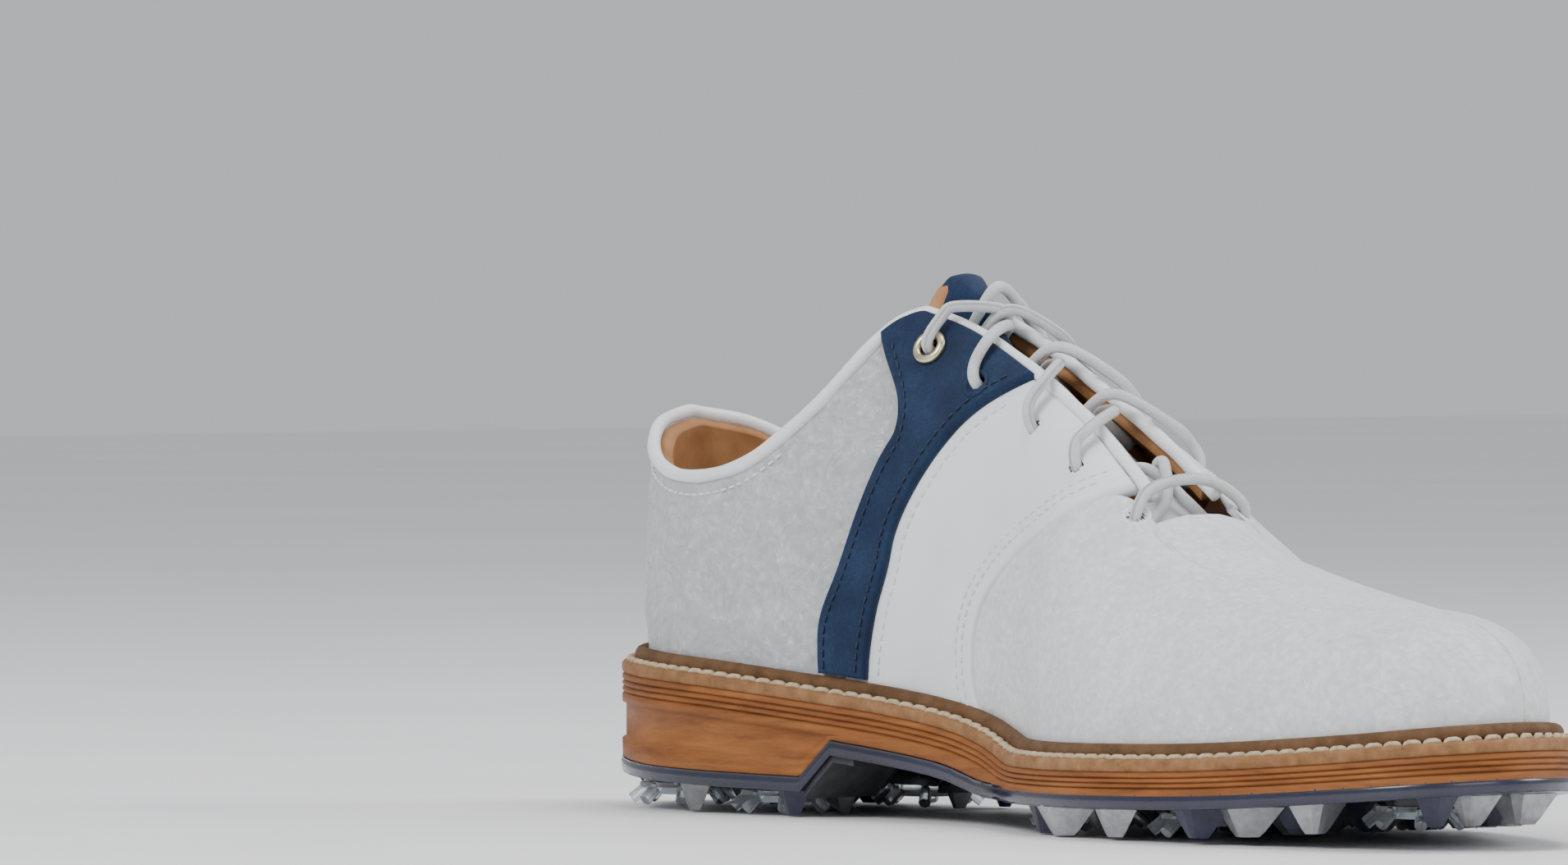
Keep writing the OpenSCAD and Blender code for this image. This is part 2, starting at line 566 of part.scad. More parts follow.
module stripe(side) {
    color([0.13, 0.22, 0.4]) difference() {
        side_panel(side, between(side, stripe_back, 0, overlay_foot),
            between(side, stripe_front, 0, overlay_foot),
            5, 12, [gap + 1.2, gap], overlay_foot);
        eyelet_bores(side, eyelet_d);
    }
}
module quarter_medial() { quarter(medial); }
module quarter_lateral() { quarter(lateral); }
module saddle_medial() { saddle(medial); }
module saddle_lateral() { saddle(lateral); }
module stripe_medial() { stripe(medial); }
module stripe_lateral() { stripe(lateral); }
module backstay() {
    color("white") heel_panel([[-155, 0], [-157, 0], [-159, 0]],
        function(side, g) plane(side, g)[3] + overlay_foot,
        function(g) edge_z(g) - edge_drop, 3, 8, [gap + 1.1, gap]);
}
module heel_counter() {
    color([0.75, 0.7, 0.6]) heel_panel([[-85, 0], [-95, 0], [-112, 0]],
        function(side, g) plane(side, g)[3],
        function(g) 62, 8, 5, stiffener);
}
module collar_foam() {
    color([0.9, 0.85, 0.6]) heel_panel([[-62, 0], [-54, 0]], function(side, g) edge_z(g) - 12,
        function(g) edge_z(g) - edge_drop - 0.4, 12, 4, stiffener);
}
module collar_lining() {
    color([0.8, 0.6, 0.38]) difference() {
        heel_panel(shifted(vamp_seam, -gap), function(side, g) plane(side, g)[3] + 3,
            function(g) edge_z(g) - edge_drop, 20, 9, lining);
        eyelet_bores(medial, eyelet_d);
        eyelet_bores(lateral, eyelet_d);
    }
}

// ---- tubes ----
function turned_to(n, t) = unit(n - (n * t) * t);
// Rings of a tube of radius r along the points p.
function side_vectors(p) = let (n = len(p) - 1)
    [for (i = 0, t = unit(p[1] - p[0]), s = turned_to([0.3, 0.2, 1], t); i <= n; i = i + 1,
        t = i > n ? t : unit(p[min(n, i + 1)] - p[max(0, i - 1)]), s = turned_to(s, t)) [t, s]];
module tube(p, r, sides) {
    f = side_vectors(p);
    n = len(p);
    polyhedron(points = [for (i = [0:n - 1]) let (t = f[i][0], s = f[i][1], c = cross(t, s))
            for (k = [0:sides - 1]) p[i] + r * (cos(360 * k / sides) * s + sin(360 * k / sides) * c)],
        faces = concat([[for (k = [0:sides - 1]) k]],
            [[for (k = [sides - 1:-1:0]) (n - 1) * sides + k]],
            [for (i = [0:n - 2]) for (k = [0:sides - 1]) let (a = i * sides + k,
                b = i * sides + (k + 1) % sides)
                for (q = [[a, a + sides, b + sides], [a, b + sides, b]]) q]));
}
piping_end = 33;
piping_half = 34;
module topline_piping() {
    color("white") tube([for (i = [-piping_half:piping_half])
        let (g = mix(g_heel, piping_end, abs(i) / piping_half))
            skin_z(i < 0 ? medial : lateral, [g, edge_z(g)], -0.8)], piping_r, 8);
}

// ---- eyelets and lace ----
grommet_d = 8.2;
module grommet(side) {
    at_eyelet(side, eyelets[0], gap + 1.45)
        difference() {
            union() {
                cylinder(h = 0.9, d = grommet_d, $fn = 48);
                translate([0, 0, -3]) cylinder(h = 3.5, d = eyelet_d - 0.2, $fn = 48);
            }
            translate([0, 0, -4]) cylinder(h = 6, d = eyelet_d - 1, $fn = 48);
        }
}
module eyelet_grommets() { color([0.8, 0.72, 0.5]) { grommet(medial); grommet(lateral); } }

last_eyelet = len(eyelets) - 1;
function over_ridge(g, dz) = let (p = plane(medial, g)) [p[0].x, p[0].y, p[4] + dz];
// One pass: out of eyelet k, over the throat and in under the opposite facing. The passes that
// start on the lateral side run over the others.
function pass(k, side) = let (e = eyelets[k], n = eyelets[k - 1], g1 = e[0], g2 = n[0] + 4)
    [bore_at(side, e, lace_depth), bore_at(side, e, 0.8),
        skin_z(side, [e[0] - 1, e[1] + 2.5], lace_over + 0.6),
     skin_z(side, [g1, edge_z(g1) - 2], lace_over + 0.8),
     over_ridge((e[0] + n[0]) / 2 + 3, side == lateral ? 3.2 : -0.4),
     skin_z(-side, [g2, edge_z(g2) + 1.6], lace_depth + 0.5),
     skin_z(-side, [g2 - 2, edge_z(g2 - 2) - 5], lace_depth - 0.2)];
// The end leaves the top eyelet, crosses over the tongue and runs down inside the opposite facing.
function tail(side) = let (e = eyelets[0], g1 = e[0] + (side == lateral ? -0.5 : 2.5),
    g2 = side == lateral ? -46 : -44)
    [bore_at(side, e, lace_depth), bore_at(side, e, 3.6),
        skin_z(side, [g1 - 1, e[1] + 2.8], lace_over + 2),
     skin_z(side, [g1, edge_z(g1) - 1.5], lace_over + 0.8),
     side == lateral ? over_ridge(-41.5, 5) : over_ridge(-37.5, 0.8),
     skin_z(-side, [g2, edge_z(g2) + 1.4], lace_depth + 0.8),
     skin_z(-side, [g2 - 4.5, edge_z(g2 - 4.5) - 5.5], lace_depth - 0.1),
         skin_z(-side, [-55, 95], lace_depth - 0.1),
     skin_z(-side, [-58, 87], lace_depth - 1), skin_z(-side, [-59.5, 79], lace_depth - 3.2)];
function climb(side, k) = k == 0 ? tail(side) : concat(pass(k, side), climb(-side, k - 1));
// From the bar over the lowest eyelets down through one of them, across under the facings and up.
function half_lace(side) = let (e = eyelets[last_eyelet], n = eyelets[last_eyelet - 1],
        qa = mix(e[0], n[0], 0.25), qb = mix(e[0], n[0], 0.75))
    concat([skin_z(side, [e[0], e[1] + 2.6], lace_over + 0.4), bore_at(side, e, 0.8),
        bore_at(side, e, lace_depth),
        skin_z(side, [qa, edge_z(qa) + 1.4], lace_depth + 0.9),
        over_ridge((e[0] + n[0]) / 2, side == lateral ? lace_depth + 1.2 : lace_depth + 4.4),
        skin_z(-side, [qb, edge_z(qb) + 1.4], lace_depth + 0.9)],
        climb(-side, last_eyelet - 1));
function backwards(p) = [for (i = [len(p) - 1:-1:0]) p[i]];
lace_line = concat(backwards(half_lace(medial)), [over_ridge(eyelets[last_eyelet][0], lace_over)],
    half_lace(lateral));
aglet_l = 20;
module lace() { color("white") tube(lace_line, lace_d / 2, 8); }
module lace_aglets() {
    color([0.9, 0.9, 0.92]) for (p = [lace_line, backwards(lace_line)]) {
        n = len(p) - 1;
        d = unit(p[n] - p[n - 1]);
        translate(p[n] + 0.05 * d) rotate([0, acos(d.z), atan2(d.y, d.x)])
            cylinder(h = aglet_l, d = lace_d - 0.2, $fn = 32);
    }
}

// ---- tongue ----
tongue_g = [50, -52];
tongue_edge_line = [[-62, 0.66], [-52, 0.6], [-20, 0.5], [10, 0.5], [50, 0.6]];
tongue_rise = [[-64, 10.2], [-52, 9.1], [-47, 6], [-42, 1.7], [-37, 0.3], [-32, 0], [50, 0]];
tongue_sink = [[-60, 1.2], [-46, 1.2], [-34, 0.5], [-24, 0.3], [-10, 0.2], [8, 0.9], [40, 0.9],
    [50, 0.3]];
tongue_back = 10;
tongue_layers = [[0, -1], [-1.5, -3.4], [-3.9, -4.7]];
function ease(u) = let (c = min(1, max(0, u))) c * c * (3 - 2 * c);
// The upper part of the tongue bulges out between the facings; its sides lie further back.
module tongue_layer(k) {
    sheet(17, 13, function(i, j, d) let (g0 = mix(tongue_g[0], tongue_g[1], i / 16),
            side = j <= 6 ? medial : lateral, v = 1 - abs(j - 6) / 6,
            g = g0 - tongue_back * pow(max(0, (-10 - g0) / 42), 2) * (1 - v) * (1 - v),
            p = plane(side, g), t = mix(smooth(tongue_edge_line, g), 1, v), e = t_at(p, edge_z(g)),
            rise = smooth(tongue_rise, g) * ease(1.5 * (t - e) / (1 - e) - 0.2))
        skin(side, g, t, tongue_top + rise - smooth(tongue_sink, g) + d), tongue_layers[k][0],
            tongue_layers[k][1]);
}
module tongue_face() { color([0.13, 0.22, 0.4]) tongue_layer(0); }
module tongue_foam() { color([0.9, 0.85, 0.6]) tongue_layer(1); }
module tongue_lining() { color([0.8, 0.6, 0.38]) tongue_layer(2); }

outsole();
forefoot_lugs_silver();
forefoot_lugs_dark();
heel_lugs_silver();
heel_lugs_dark();
breast_blocks();
shank_bridge();
shank_window();
cleat_receptacles();
midsole();
welt_strip();
storm_welt();
welt_stitch();
cork_filler();
shank_spring();
lasting_board();
footbed();
heel_pad();
vamp();
vamp_lining();
toe_puff();
quarter_medial();
quarter_lateral();
saddle_medial();
saddle_lateral();
stripe_medial();
stripe_lateral();
backstay();
heel_counter();
collar_lining();
collar_foam();
topline_piping();
eyelet_grommets();
tongue_face();
tongue_foam();
tongue_lining();
lace();
lace_aglets();
for (i = [1:cleat_n]) {
    cleat(i - 1);
    cleat_core(i - 1);
}
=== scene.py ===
import math

import bpy
import numpy as np
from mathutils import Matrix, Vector


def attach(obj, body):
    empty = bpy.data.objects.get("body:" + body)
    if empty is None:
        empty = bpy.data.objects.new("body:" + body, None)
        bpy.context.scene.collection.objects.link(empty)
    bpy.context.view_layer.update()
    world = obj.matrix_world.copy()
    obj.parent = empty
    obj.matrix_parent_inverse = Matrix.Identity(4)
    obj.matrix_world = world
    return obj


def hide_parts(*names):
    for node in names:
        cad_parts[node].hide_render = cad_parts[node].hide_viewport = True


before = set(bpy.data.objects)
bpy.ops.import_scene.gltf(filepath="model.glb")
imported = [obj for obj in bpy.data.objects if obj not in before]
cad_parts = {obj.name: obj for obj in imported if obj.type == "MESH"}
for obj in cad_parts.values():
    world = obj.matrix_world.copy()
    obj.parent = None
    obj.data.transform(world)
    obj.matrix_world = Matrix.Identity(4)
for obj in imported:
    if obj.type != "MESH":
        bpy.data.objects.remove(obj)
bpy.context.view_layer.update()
MM = 0.001
MEDIAL, LATERAL = -1, 1

# ---------------------------------------------------------------- lines
SOLE = [[-152, 2], [-146, -13], [-133, -25.5], [-114, -33], [-90, -34], [-66, -30.5], [-42, -27.5],
        [-18, -27.5],
        [2, -33], [22, -44], [46, -51], [70, -52], [94, -49], [118, -44], [137, -37.5], [148.5, -26],
        [152, -13],
        [146.5, 3], [134, 17], [116, 28], [94, 37.5], [70, 45], [46, 50.5], [22, 52], [0, 48.5], [-24, 44],
        [-48, 41.5], [-72, 41], [-98, 40], [-120, 36.5], [-137, 27.5], [-148, 15]]
RIM = [[-152, 36.5], [-120, 35.3], [-92, 33.8], [-60, 30.9], [-40, 28.9], [-21, 26.4], [-6, 23.6],
       [8, 20.6],
       [24, 20], [55, 20.4], [85, 21.3], [118, 23.6], [152, 26.8]]
HEEL_LINE = [[-152, 12.3], [-120, 10], [-66, 8.7]]
FORE_LINE = [[-57, 17], [-24, 13.2], [-6, 9.8], [8, 9.4], [30, 9.4], [60, 9.8], [90, 10.7], [121, 12.8],
             [152, 15.4]]
SPINE = [[-112, 3], [-70, 3], [-35, 1.5], [0, -2], [30, -4], [70, -8], [104, -9]]
RIDGE = [[-112, 138], [-85, 136], [-62, 126], [-50, 117], [-40, 112.5], [-30, 108.5], [-20, 104.5],
         [-8, 98.8],
         [5, 92.5], [20, 84], [33, 75], [40, 69.8], [45, 66], [52, 62.5], [66, 58.3], [78, 55], [92, 52],
         [104, 50]]
ROUND_M = [[-112, 1.1], [-70, 1.05], [-45, 1.12], [-20, 1.12], [20, 1.1], [35, 1.05], [50, 0.95],
           [70, 0.85],
           [104, 0.74]]
ROUND_L = [[-112, 1.1], [-70, 1.15], [-45, 1.35], [-20, 1.55], [10, 1.7], [30, 1.6], [45, 1.35], [60, 1.1],
           [75, 0.92], [90, 0.8], [104, 0.74]]
BULGE = [[-112, 0.1], [-60, 0.1], [-20, 0.12], [10, 0.1], [60, 0.03], [104, 0.03]]
TOPLINE = [[-167, 89], [-150, 86], [-132, 79.5], [-114, 75.5], [-100, 75.5], [-86, 79.5], [-70.5, 91],
           [-62.5, 100],
           [-57, 107], [-54, 110], [-50, 112]]
THROAT = [[-50, 112], [-36, 108], [-24, 103.5], [-13, 98.8], [-4, 94.6], [5, 90.2], [15, 85], [25, 78.8],
          [33, 73.2], [40, 68]]
STRIPE_BACK = [[-64.6, 31], [-64.7, 36], [-63.8, 43.7], [-58.6, 54.6], [-54, 66.8], [-50, 76.6],
               [-46.4, 83.5],
               [-47.5, 91], [-54, 100.5], [-57, 105]]
STRIPE_FRONT = [[-51.4, 30], [-50.5, 37], [-48.4, 46], [-45.5, 54.7], [-43.5, 63.6], [-39, 72.6],
                [-32, 82.4],
                [-24, 90.5], [-12, 98]]
SADDLE_BACK = [[-58, 30], [-57.6, 37], [-56, 45], [-52, 55], [-48.5, 66], [-44.5, 75], [-40, 83.5],
               [-39, 92],
               [-42.5, 101], [-44, 109]]
VAMP_SEAM = [[-14.8, 24], [-17.3, 30.6], [-17.7, 38], [-16.5, 44.3], [-12.9, 50.6], [-4.2, 58], [7.5, 64.3],
             [18.5, 70], [29, 75]]
EYELETS = [[-43, 103], [-26, 95.5], [-5, 86.5], [15, 78], [35.5, 68.5]]
HEEL_C, TOE_C, G_HEEL, G_TOE = -112.0, 104.0, -167.0, 164.0
STORM_H, WELT_T, OUT_T = 3.2, 2.8, 3.2


def smooth(tab, x):
    """Smooth line through the points of tab, for a whole array x."""
    tab = np.asarray(tab, float)
    x = np.asarray(x, float)
    n = len(tab)
    i = np.clip(np.searchsorted(tab[:, 0], x, side="right") - 1, 0, n - 2)
    lo, hi = np.maximum(np.arange(n) - 1, 0), np.minimum(np.arange(n) + 1, n - 1)
    slope = (tab[hi, 1] - tab[lo, 1]) / (tab[hi, 0] - tab[lo, 0])
    h = tab[i + 1, 0] - tab[i, 0]
    t = (x - tab[i, 0]) / h
    u = np.clip(t, 0, 1)
    y0, y1 = tab[i, 1], tab[i + 1, 1]
    return (y0 + (3 * u * u - 2 * u ** 3) * (y1 - y0)
            + h * (u * (1 - u) ** 2 * slope[i] - u * u * (1 - u) * slope[i + 1])
            + (t - u) * h * np.where(t < 0, slope[i], slope[i + 1]))


def catmull(a, b, c, d, t):
    return 0.5 * (2 * b + (c - a) * t + (2 * a - 5 * b + 4 * c - d) * t * t + (3 * b - a - 3 * c + d)
                  * t ** 3)


def along(p, v):
    """Points at v = 0..1 of an open curve through the points p, for a whole array v."""
    p = np.asarray(p, float)
    n = len(p) - 1
    v = np.asarray(v, float)
    q = np.vstack([2 * p[0] - p[1], p, 2 * p[n] - p[n - 1]])
    i = np.clip(np.floor(v * n).astype(int), 0, n - 1)
    t = (v * n - i)[..., None]
    return catmull(q[i], q[i + 1], q[i + 2], q[i + 3], t)


def closed_curve(p, k):
    p = np.asarray(p, float)
    n = len(p)
    t = (np.arange(k) / k)[None, :, None]
    q = [np.roll(p, s, 0)[:, None, :] for s in (1, 0, -1, -2)]
    return catmull(q[0], q[1], q[2], q[3], t).reshape(n * k, -1)


def resampled(p, step, closed=False):
    q = np.vstack([p, p[:1]]) if closed else np.asarray(p, float)
    s = np.concatenate([[0], np.cumsum(np.linalg.norm(np.diff(q, axis=0), axis=1))])
    n = max(2, int(round(s[-1] / step)))
    at = np.linspace(0, s[-1], n + 1)
    r = np.stack([np.interp(at, s, q[:, k]) for k in range(q.shape[1])], 1)
    return r[:-1] if closed else r


OUTLINE = resampled(closed_curve(SOLE, 12), 1.25, True)
_t = np.roll(OUTLINE, -1, 0) - np.roll(OUTLINE, 1, 0)
_t /= np.linalg.norm(_t, axis=1)[:, None]
OUT_N = np.stack([-_t[:, 1], _t[:, 0]], 1)


def inset(d):
    return OUTLINE + d * OUT_N


def rim_z(x):
    return smooth(RIM, x)


def mid_z(x):
    x = np.asarray(x, float)
    u = np.clip((x + 66) / 9, 0, 1)
    step = HEEL_LINE[2][1] + (FORE_LINE[0][1] - HEEL_LINE[2][1]) * u
    return np.where(x < -66, smooth(HEEL_LINE, x), np.where(x < -57, step, smooth(FORE_LINE, x)))


# ---------------------------------------------------------------- last
FEATHER = inset(6)[::2]


def _hit(o, d):
    a = FEATHER - o
    e = np.roll(FEATHER, -1, 0) - FEATHER
    den = d[0] * e[:, 1] - d[1] * e[:, 0]
    den = np.where(abs(den) < 1e-9, 1e-9, den)
    r = (a[:, 0] * e[:, 1] - a[:, 1] * e[:, 0]) / den
    k = (a[:, 0] * d[1] - a[:, 1] * d[0]) / den
    return r[(k >= 0) & (k <= 1) & (r > 0)].max()


G_TAB = np.linspace(G_HEEL, G_TOE, 663)
PLANES = {}
for _side in (MEDIAL, LATERAL):
    rows = []
    for _g in G_TAB:
        _c = min(TOE_C, max(HEEL_C, _g))
        _o = np.array([_c, float(smooth(SPINE, _c))])
        _turn = (90 + 90 * (HEEL_C - _g) / (HEEL_C - G_HEEL) if _g < HEEL_C
                 else 90 - 90 * (_g - TOE_C) / (G_TOE - TOE_C) if _g > TOE_C else 90)
        _d = np.array([math.cos(math.radians(_turn)), _side * math.sin(math.radians(_turn))])
        _w = _hit(_o, _d)
        rows.append([_o[0], _o[1], _d[0], _d[1], _w, float(rim_z(_o[0] + _d[0] * _w)) - STORM_H + 0.2,
                     float(smooth(RIDGE, _c)), float(smooth(ROUND_M if _side == MEDIAL else ROUND_L, _c)),
                     float(smooth(BULGE, _c))])
    PLANES[_side] = np.array(rows)


def plane(side, g):
    g = np.clip(np.asarray(g, float), G_HEEL, G_TOE)
    return [np.interp(g, G_TAB, PLANES[side][:, k]) for k in range(9)]


def skin(side, g, t, d=0.0):
    """Point of the upper at g and t, moved outwards by d millimetres."""
    ox, oy, dx, dy, w, zf, zr, b, k = plane(side, g)
    a = np.radians(90 * np.clip(t, 0, 1))
    ww = (w + d) * (np.maximum(0, np.cos(a)) ** b + k * np.sin(2 * a))
    z = zf + (zr + d - zf) * np.sin(a) ** np.minimum(1, b)
    return np.stack([ox + dx * ww, oy + dy * ww, z], -1)


def t_at(side, g, z):
    _, _, _, _, _, zf, zr, b, _ = plane(side, g)
    f = np.clip((z - zf) / (zr - zf), 0, 1)
    return np.degrees(np.arcsin(f ** (1 / np.minimum(1, b)))) / 90


def skin_z(side, g, z, d=0.0):
    return skin(side, g, t_at(side, g, z), d)


def edge_z(g):
    g = np.asarray(g, float)
    return np.where(g < -50, smooth(TOPLINE, g), smooth(THROAT, g))


def normal(side, g, z):
    a = skin_z(side, g + 1, z - 0.45) - skin_z(side, g - 1, z + 0.45)
    b = skin_z(side, g, z + 1) - skin_z(side, g, z - 1)
    n = -side * np.cross(a, b)
    return n / np.linalg.norm(n)


# ---------------------------------------------------------------- meshes
def new_mesh(name, verts, faces, mat, smooth_shade=True, uv=None):
    me = bpy.data.meshes.new(name)
    me.from_pydata((np.asarray(verts) * MM).tolist(), [], faces)
    me.validate()
    me.polygons.foreach_set("use_smooth", [smooth_shade] * len(me.polygons))
    if uv is not None:
        layer = me.uv_layers.new(name="UVMap")
        idx = np.zeros(len(me.loops), int)
        me.loops.foreach_get("vertex_index", idx)
        layer.data.foreach_set("uv", np.asarray(uv, float)[idx].ravel())
    ob = bpy.data.objects.new(name, me)
    bpy.context.scene.collection.objects.link(ob)
    for m in (mat if isinstance(mat, (list, tuple)) else [mat]):
        me.materials.append(m)
    return ob


def settle(ob, body, node=None):
    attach(ob, body)
    if node:
        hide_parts(*([node] if isinstance(node, str) else node))
    return ob


def edge_distance(P):
    """Distance of every grid point from the four edges, along the rows and columns."""
    du = np.linalg.norm(np.diff(P, axis=0), axis=2)
    dv = np.linalg.norm(np.diff(P, axis=1), axis=2)
    su = np.concatenate([np.zeros((1, P.shape[1])), np.cumsum(du, 0)], 0)
    sv = np.concatenate([np.zeros((P.shape[0], 1)), np.cumsum(dv, 1)], 1)
    return su, su[-1:] - su, sv, sv[:, -1:] - sv


def spread(n, pull=0.55):
    """Parameters 0..1 that lie closer together at both ends."""
    u = np.linspace(0, 1, n)
    return (1 - pull) * u + pull * (0.5 - 0.5 * np.cos(np.pi * u))


def sheet(name, point, nu, nv, top, base, mat, edge_r=0.5, roll=(1, 1, 1, 1), relief=None, flip=False,
          holes=(),
          us=None, vs=None):
    """Closed shell of a panel. point(u, v, d) gives its surface; its edges are rounded with radius edge_r
    where roll is set (start, end, low, high). relief(P, u, v) adds a depth."""
    us = spread(nu) if us is None else us
    vs = spread(nv) if vs is None else vs
    nu, nv = len(us), len(vs)
    U, V = np.meshgrid(us, vs, indexing="ij")
    P0 = point(U, V, np.zeros_like(U) + top)
    dist = edge_distance(P0)
    near = np.minimum.reduce([np.where(r, d, 1e6) for r, d in zip(roll, dist)])
    x = np.clip(1 - near / edge_r, 0, 1)
    drop = edge_r * (1 - np.sqrt(np.maximum(0, 1 - x * x)))
    D = top - drop
    if relief is not None:
        D = D + relief(P0, U, V, near)
    outer = point(U, V, D)
    inner = point(U, V, np.zeros_like(U) + base)
    n = nu * nv
    verts = np.concatenate([outer.reshape(n, 3), inner.reshape(n, 3)])
    I, J = np.meshgrid(np.arange(nu - 1), np.arange(nv - 1), indexing="ij")
    a, b, c, e = (I * nv + J).ravel(), ((I + 1) * nv + J).ravel(), ((I + 1) * nv + J + 1).ravel(), (I * nv
            + J + 1).ravel()
    q = np.stack([a, b, c, e], 1)
    if len(holes):
        C = (outer.reshape(n, 3)[q]).mean(1)
        keep = np.ones(len(q), bool)
        for h, r in holes:
            keep &= np.linalg.norm(C - h, axis=1) > r
        q = q[keep]
    ring = np.concatenate([np.arange(nu) * nv, (nu - 1) * nv + np.arange(1, nv),
            np.arange(nu - 2, -1, -1) * nv + nv - 1, np.arange(nv - 2, 0, -1)])
    nxt = np.roll(ring, -1)
    side = np.stack([ring, ring + n, nxt + n, nxt], 1)
    under = q[:, ::-1] + n
    faces = np.concatenate([q, under, side])
    if flip:
        faces = faces[:, ::-1]
    uv = np.concatenate([np.stack([dist[0].ravel(), dist[2].ravel()], 1)] * 2) * 0.1
    return new_mesh(name, verts, faces.tolist(), mat, uv=uv)


def coons(left, right, low, high):
    def f(u, v):
        l, r, b, t = along(left, v), along(right, v), along(low, u), along(high, u)
        left_, right_ = np.asarray(left, float), np.asarray(right, float)
        u_, v_ = u[..., None], v[..., None]
        return (l + (r - l) * u_ + b + (t - b) * v_
                - ((1 - v_) * (left_[0] + (right_[0] - left_[0]) * u_) + v_
                   * (left_[-1] + (right_[-1] - left_[-1]) * u_)))
    return f


def tube(name, pts, r, mat, sides=12, closed=False, radii=None, uv_turns=1.0):
    pts = np.asarray(pts, float)
    n = len(pts)
    if closed:
        T = np.roll(pts, -1, 0) - np.roll(pts, 1, 0)
    else:
        T = np.gradient(pts, axis=0)
    T /= np.maximum(1e-9, np.linalg.norm(T, axis=1))[:, None]
    s = np.array([0.3, 0.2, 1.0])
    S = []
    for t in T:
        s = s - (s @ t) * t
        s /= np.linalg.norm(s)
        S.append(s)
    S = np.array(S)
    C = np.cross(T, S)
    a = np.linspace(0, 2 * np.pi, sides, endpoint=False)
    rr = (np.full(n, r) if radii is None else np.asarray(radii))[:, None, None]
    V = pts[:, None] + rr * (np.cos(a)[None, :, None] * S[:, None] + np.sin(a)[None, :, None] * C[:, None])
    length = np.concatenate([[0], np.cumsum(np.linalg.norm(np.diff(pts, axis=0), axis=1))])
    faces, m = [], n if closed else n - 1
    for i in range(m):
        i2 = (i + 1) % n
        for k in range(sides):
            k2 = (k + 1) % sides
            faces.append([i * sides + k, i2 * sides + k, i2 * sides + k2, i * sides + k2])
    if not closed:
        faces.append(list(range(sides)))
        faces.append([(n - 1) * sides + k for k in range(sides - 1, -1, -1)])
    uv = np.stack([np.repeat(length, sides), np.tile(np.arange(sides) / sides * uv_turns, n)], 1)
    return new_mesh(name, V.reshape(-1, 3), faces, mat, uv=uv)


def smooth_path(p, step=0.8, tension=10):
    p = np.asarray(p, float)
    q = along(p, np.linspace(0, 1, (len(p) - 1) * tension + 1))
    return resampled(q, step)


def merged(name, parts, mat, smooth_shade=True):
    """One mesh from a list of (verts, faces)."""
    V, F, off = [], [], 0
    for v, f in parts:
        V.append(np.asarray(v))
        F += [[i + off for i in q] for q in f]
        off += len(v)
    return new_mesh(name, np.concatenate(V), F, mat, smooth_shade)


def capsule(a, b, n, r, flat=0.7):
    """A stitch: a short round thread from a to b lying on a surface with normal n."""
    a, b, n = np.asarray(a), np.asarray(b), np.asarray(n)
    t = b - a
    l = np.linalg.norm(t)
    t = t / l
    s = np.cross(n, t)
    s /= np.linalg.norm(s)
    n2 = np.cross(t, s)
    V, ks = [], 6
    for f, q, lift in ((-0.06, 0.35, -0.8), (0.08, 0.85, -0.1), (0.3, 1, 0.25), (0.7, 1, 0.25),
            (0.92, 0.85, -0.1), (1.06, 0.35, -0.8)):
        c = a + t * l * f + n2 * r * lift
        for k in range(ks):
            w = 2 * math.pi * k / ks
            V.append(c + q * r * (math.cos(w) * s + flat * math.sin(w) * n2))
    F = []
    for i in range(5):
        for k in range(ks):
            F.append([i * ks + k, i * ks + (k + 1) % ks, (i + 1) * ks + (k + 1) % ks, (i + 1) * ks + k])
    F.append(list(range(ks))[::-1])
    F.append([5 * ks + k for k in range(ks)])
    return V, F


def stitches(pts, normals, pitch, r, part=0.68, raise_=0.05):
    """Stitches along a line of points with their surface normals."""
    pts, normals = np.asarray(pts), np.asarray(normals)
    s = np.concatenate([[0], np.cumsum(np.linalg.norm(np.diff(pts, axis=0), axis=1))])
    out = []
    n = int(s[-1] / pitch)
    at = lambda q, A: np.array([np.interp(q, s, A[:, k]) for k in range(3)])
    for i in range(n):
        a, b = (i + 0.5 * (1 - part)) * pitch, (i + 0.5 * (1 + part)) * pitch
        nn = at((a + b) / 2, normals)
        nn /= np.linalg.norm(nn)
        out.append(capsule(at(a, pts) + raise_ * nn, at(b, pts) + raise_ * nn, nn, r))
    return out


def skin_line(side, gz, d):
    """Points and normals of a line given in (g, z)."""
    P = np.array([skin_z(side, g, z, d) for g, z in gz])
    N = np.array([normal(side, g, z) for g, z in gz])
    return P, N


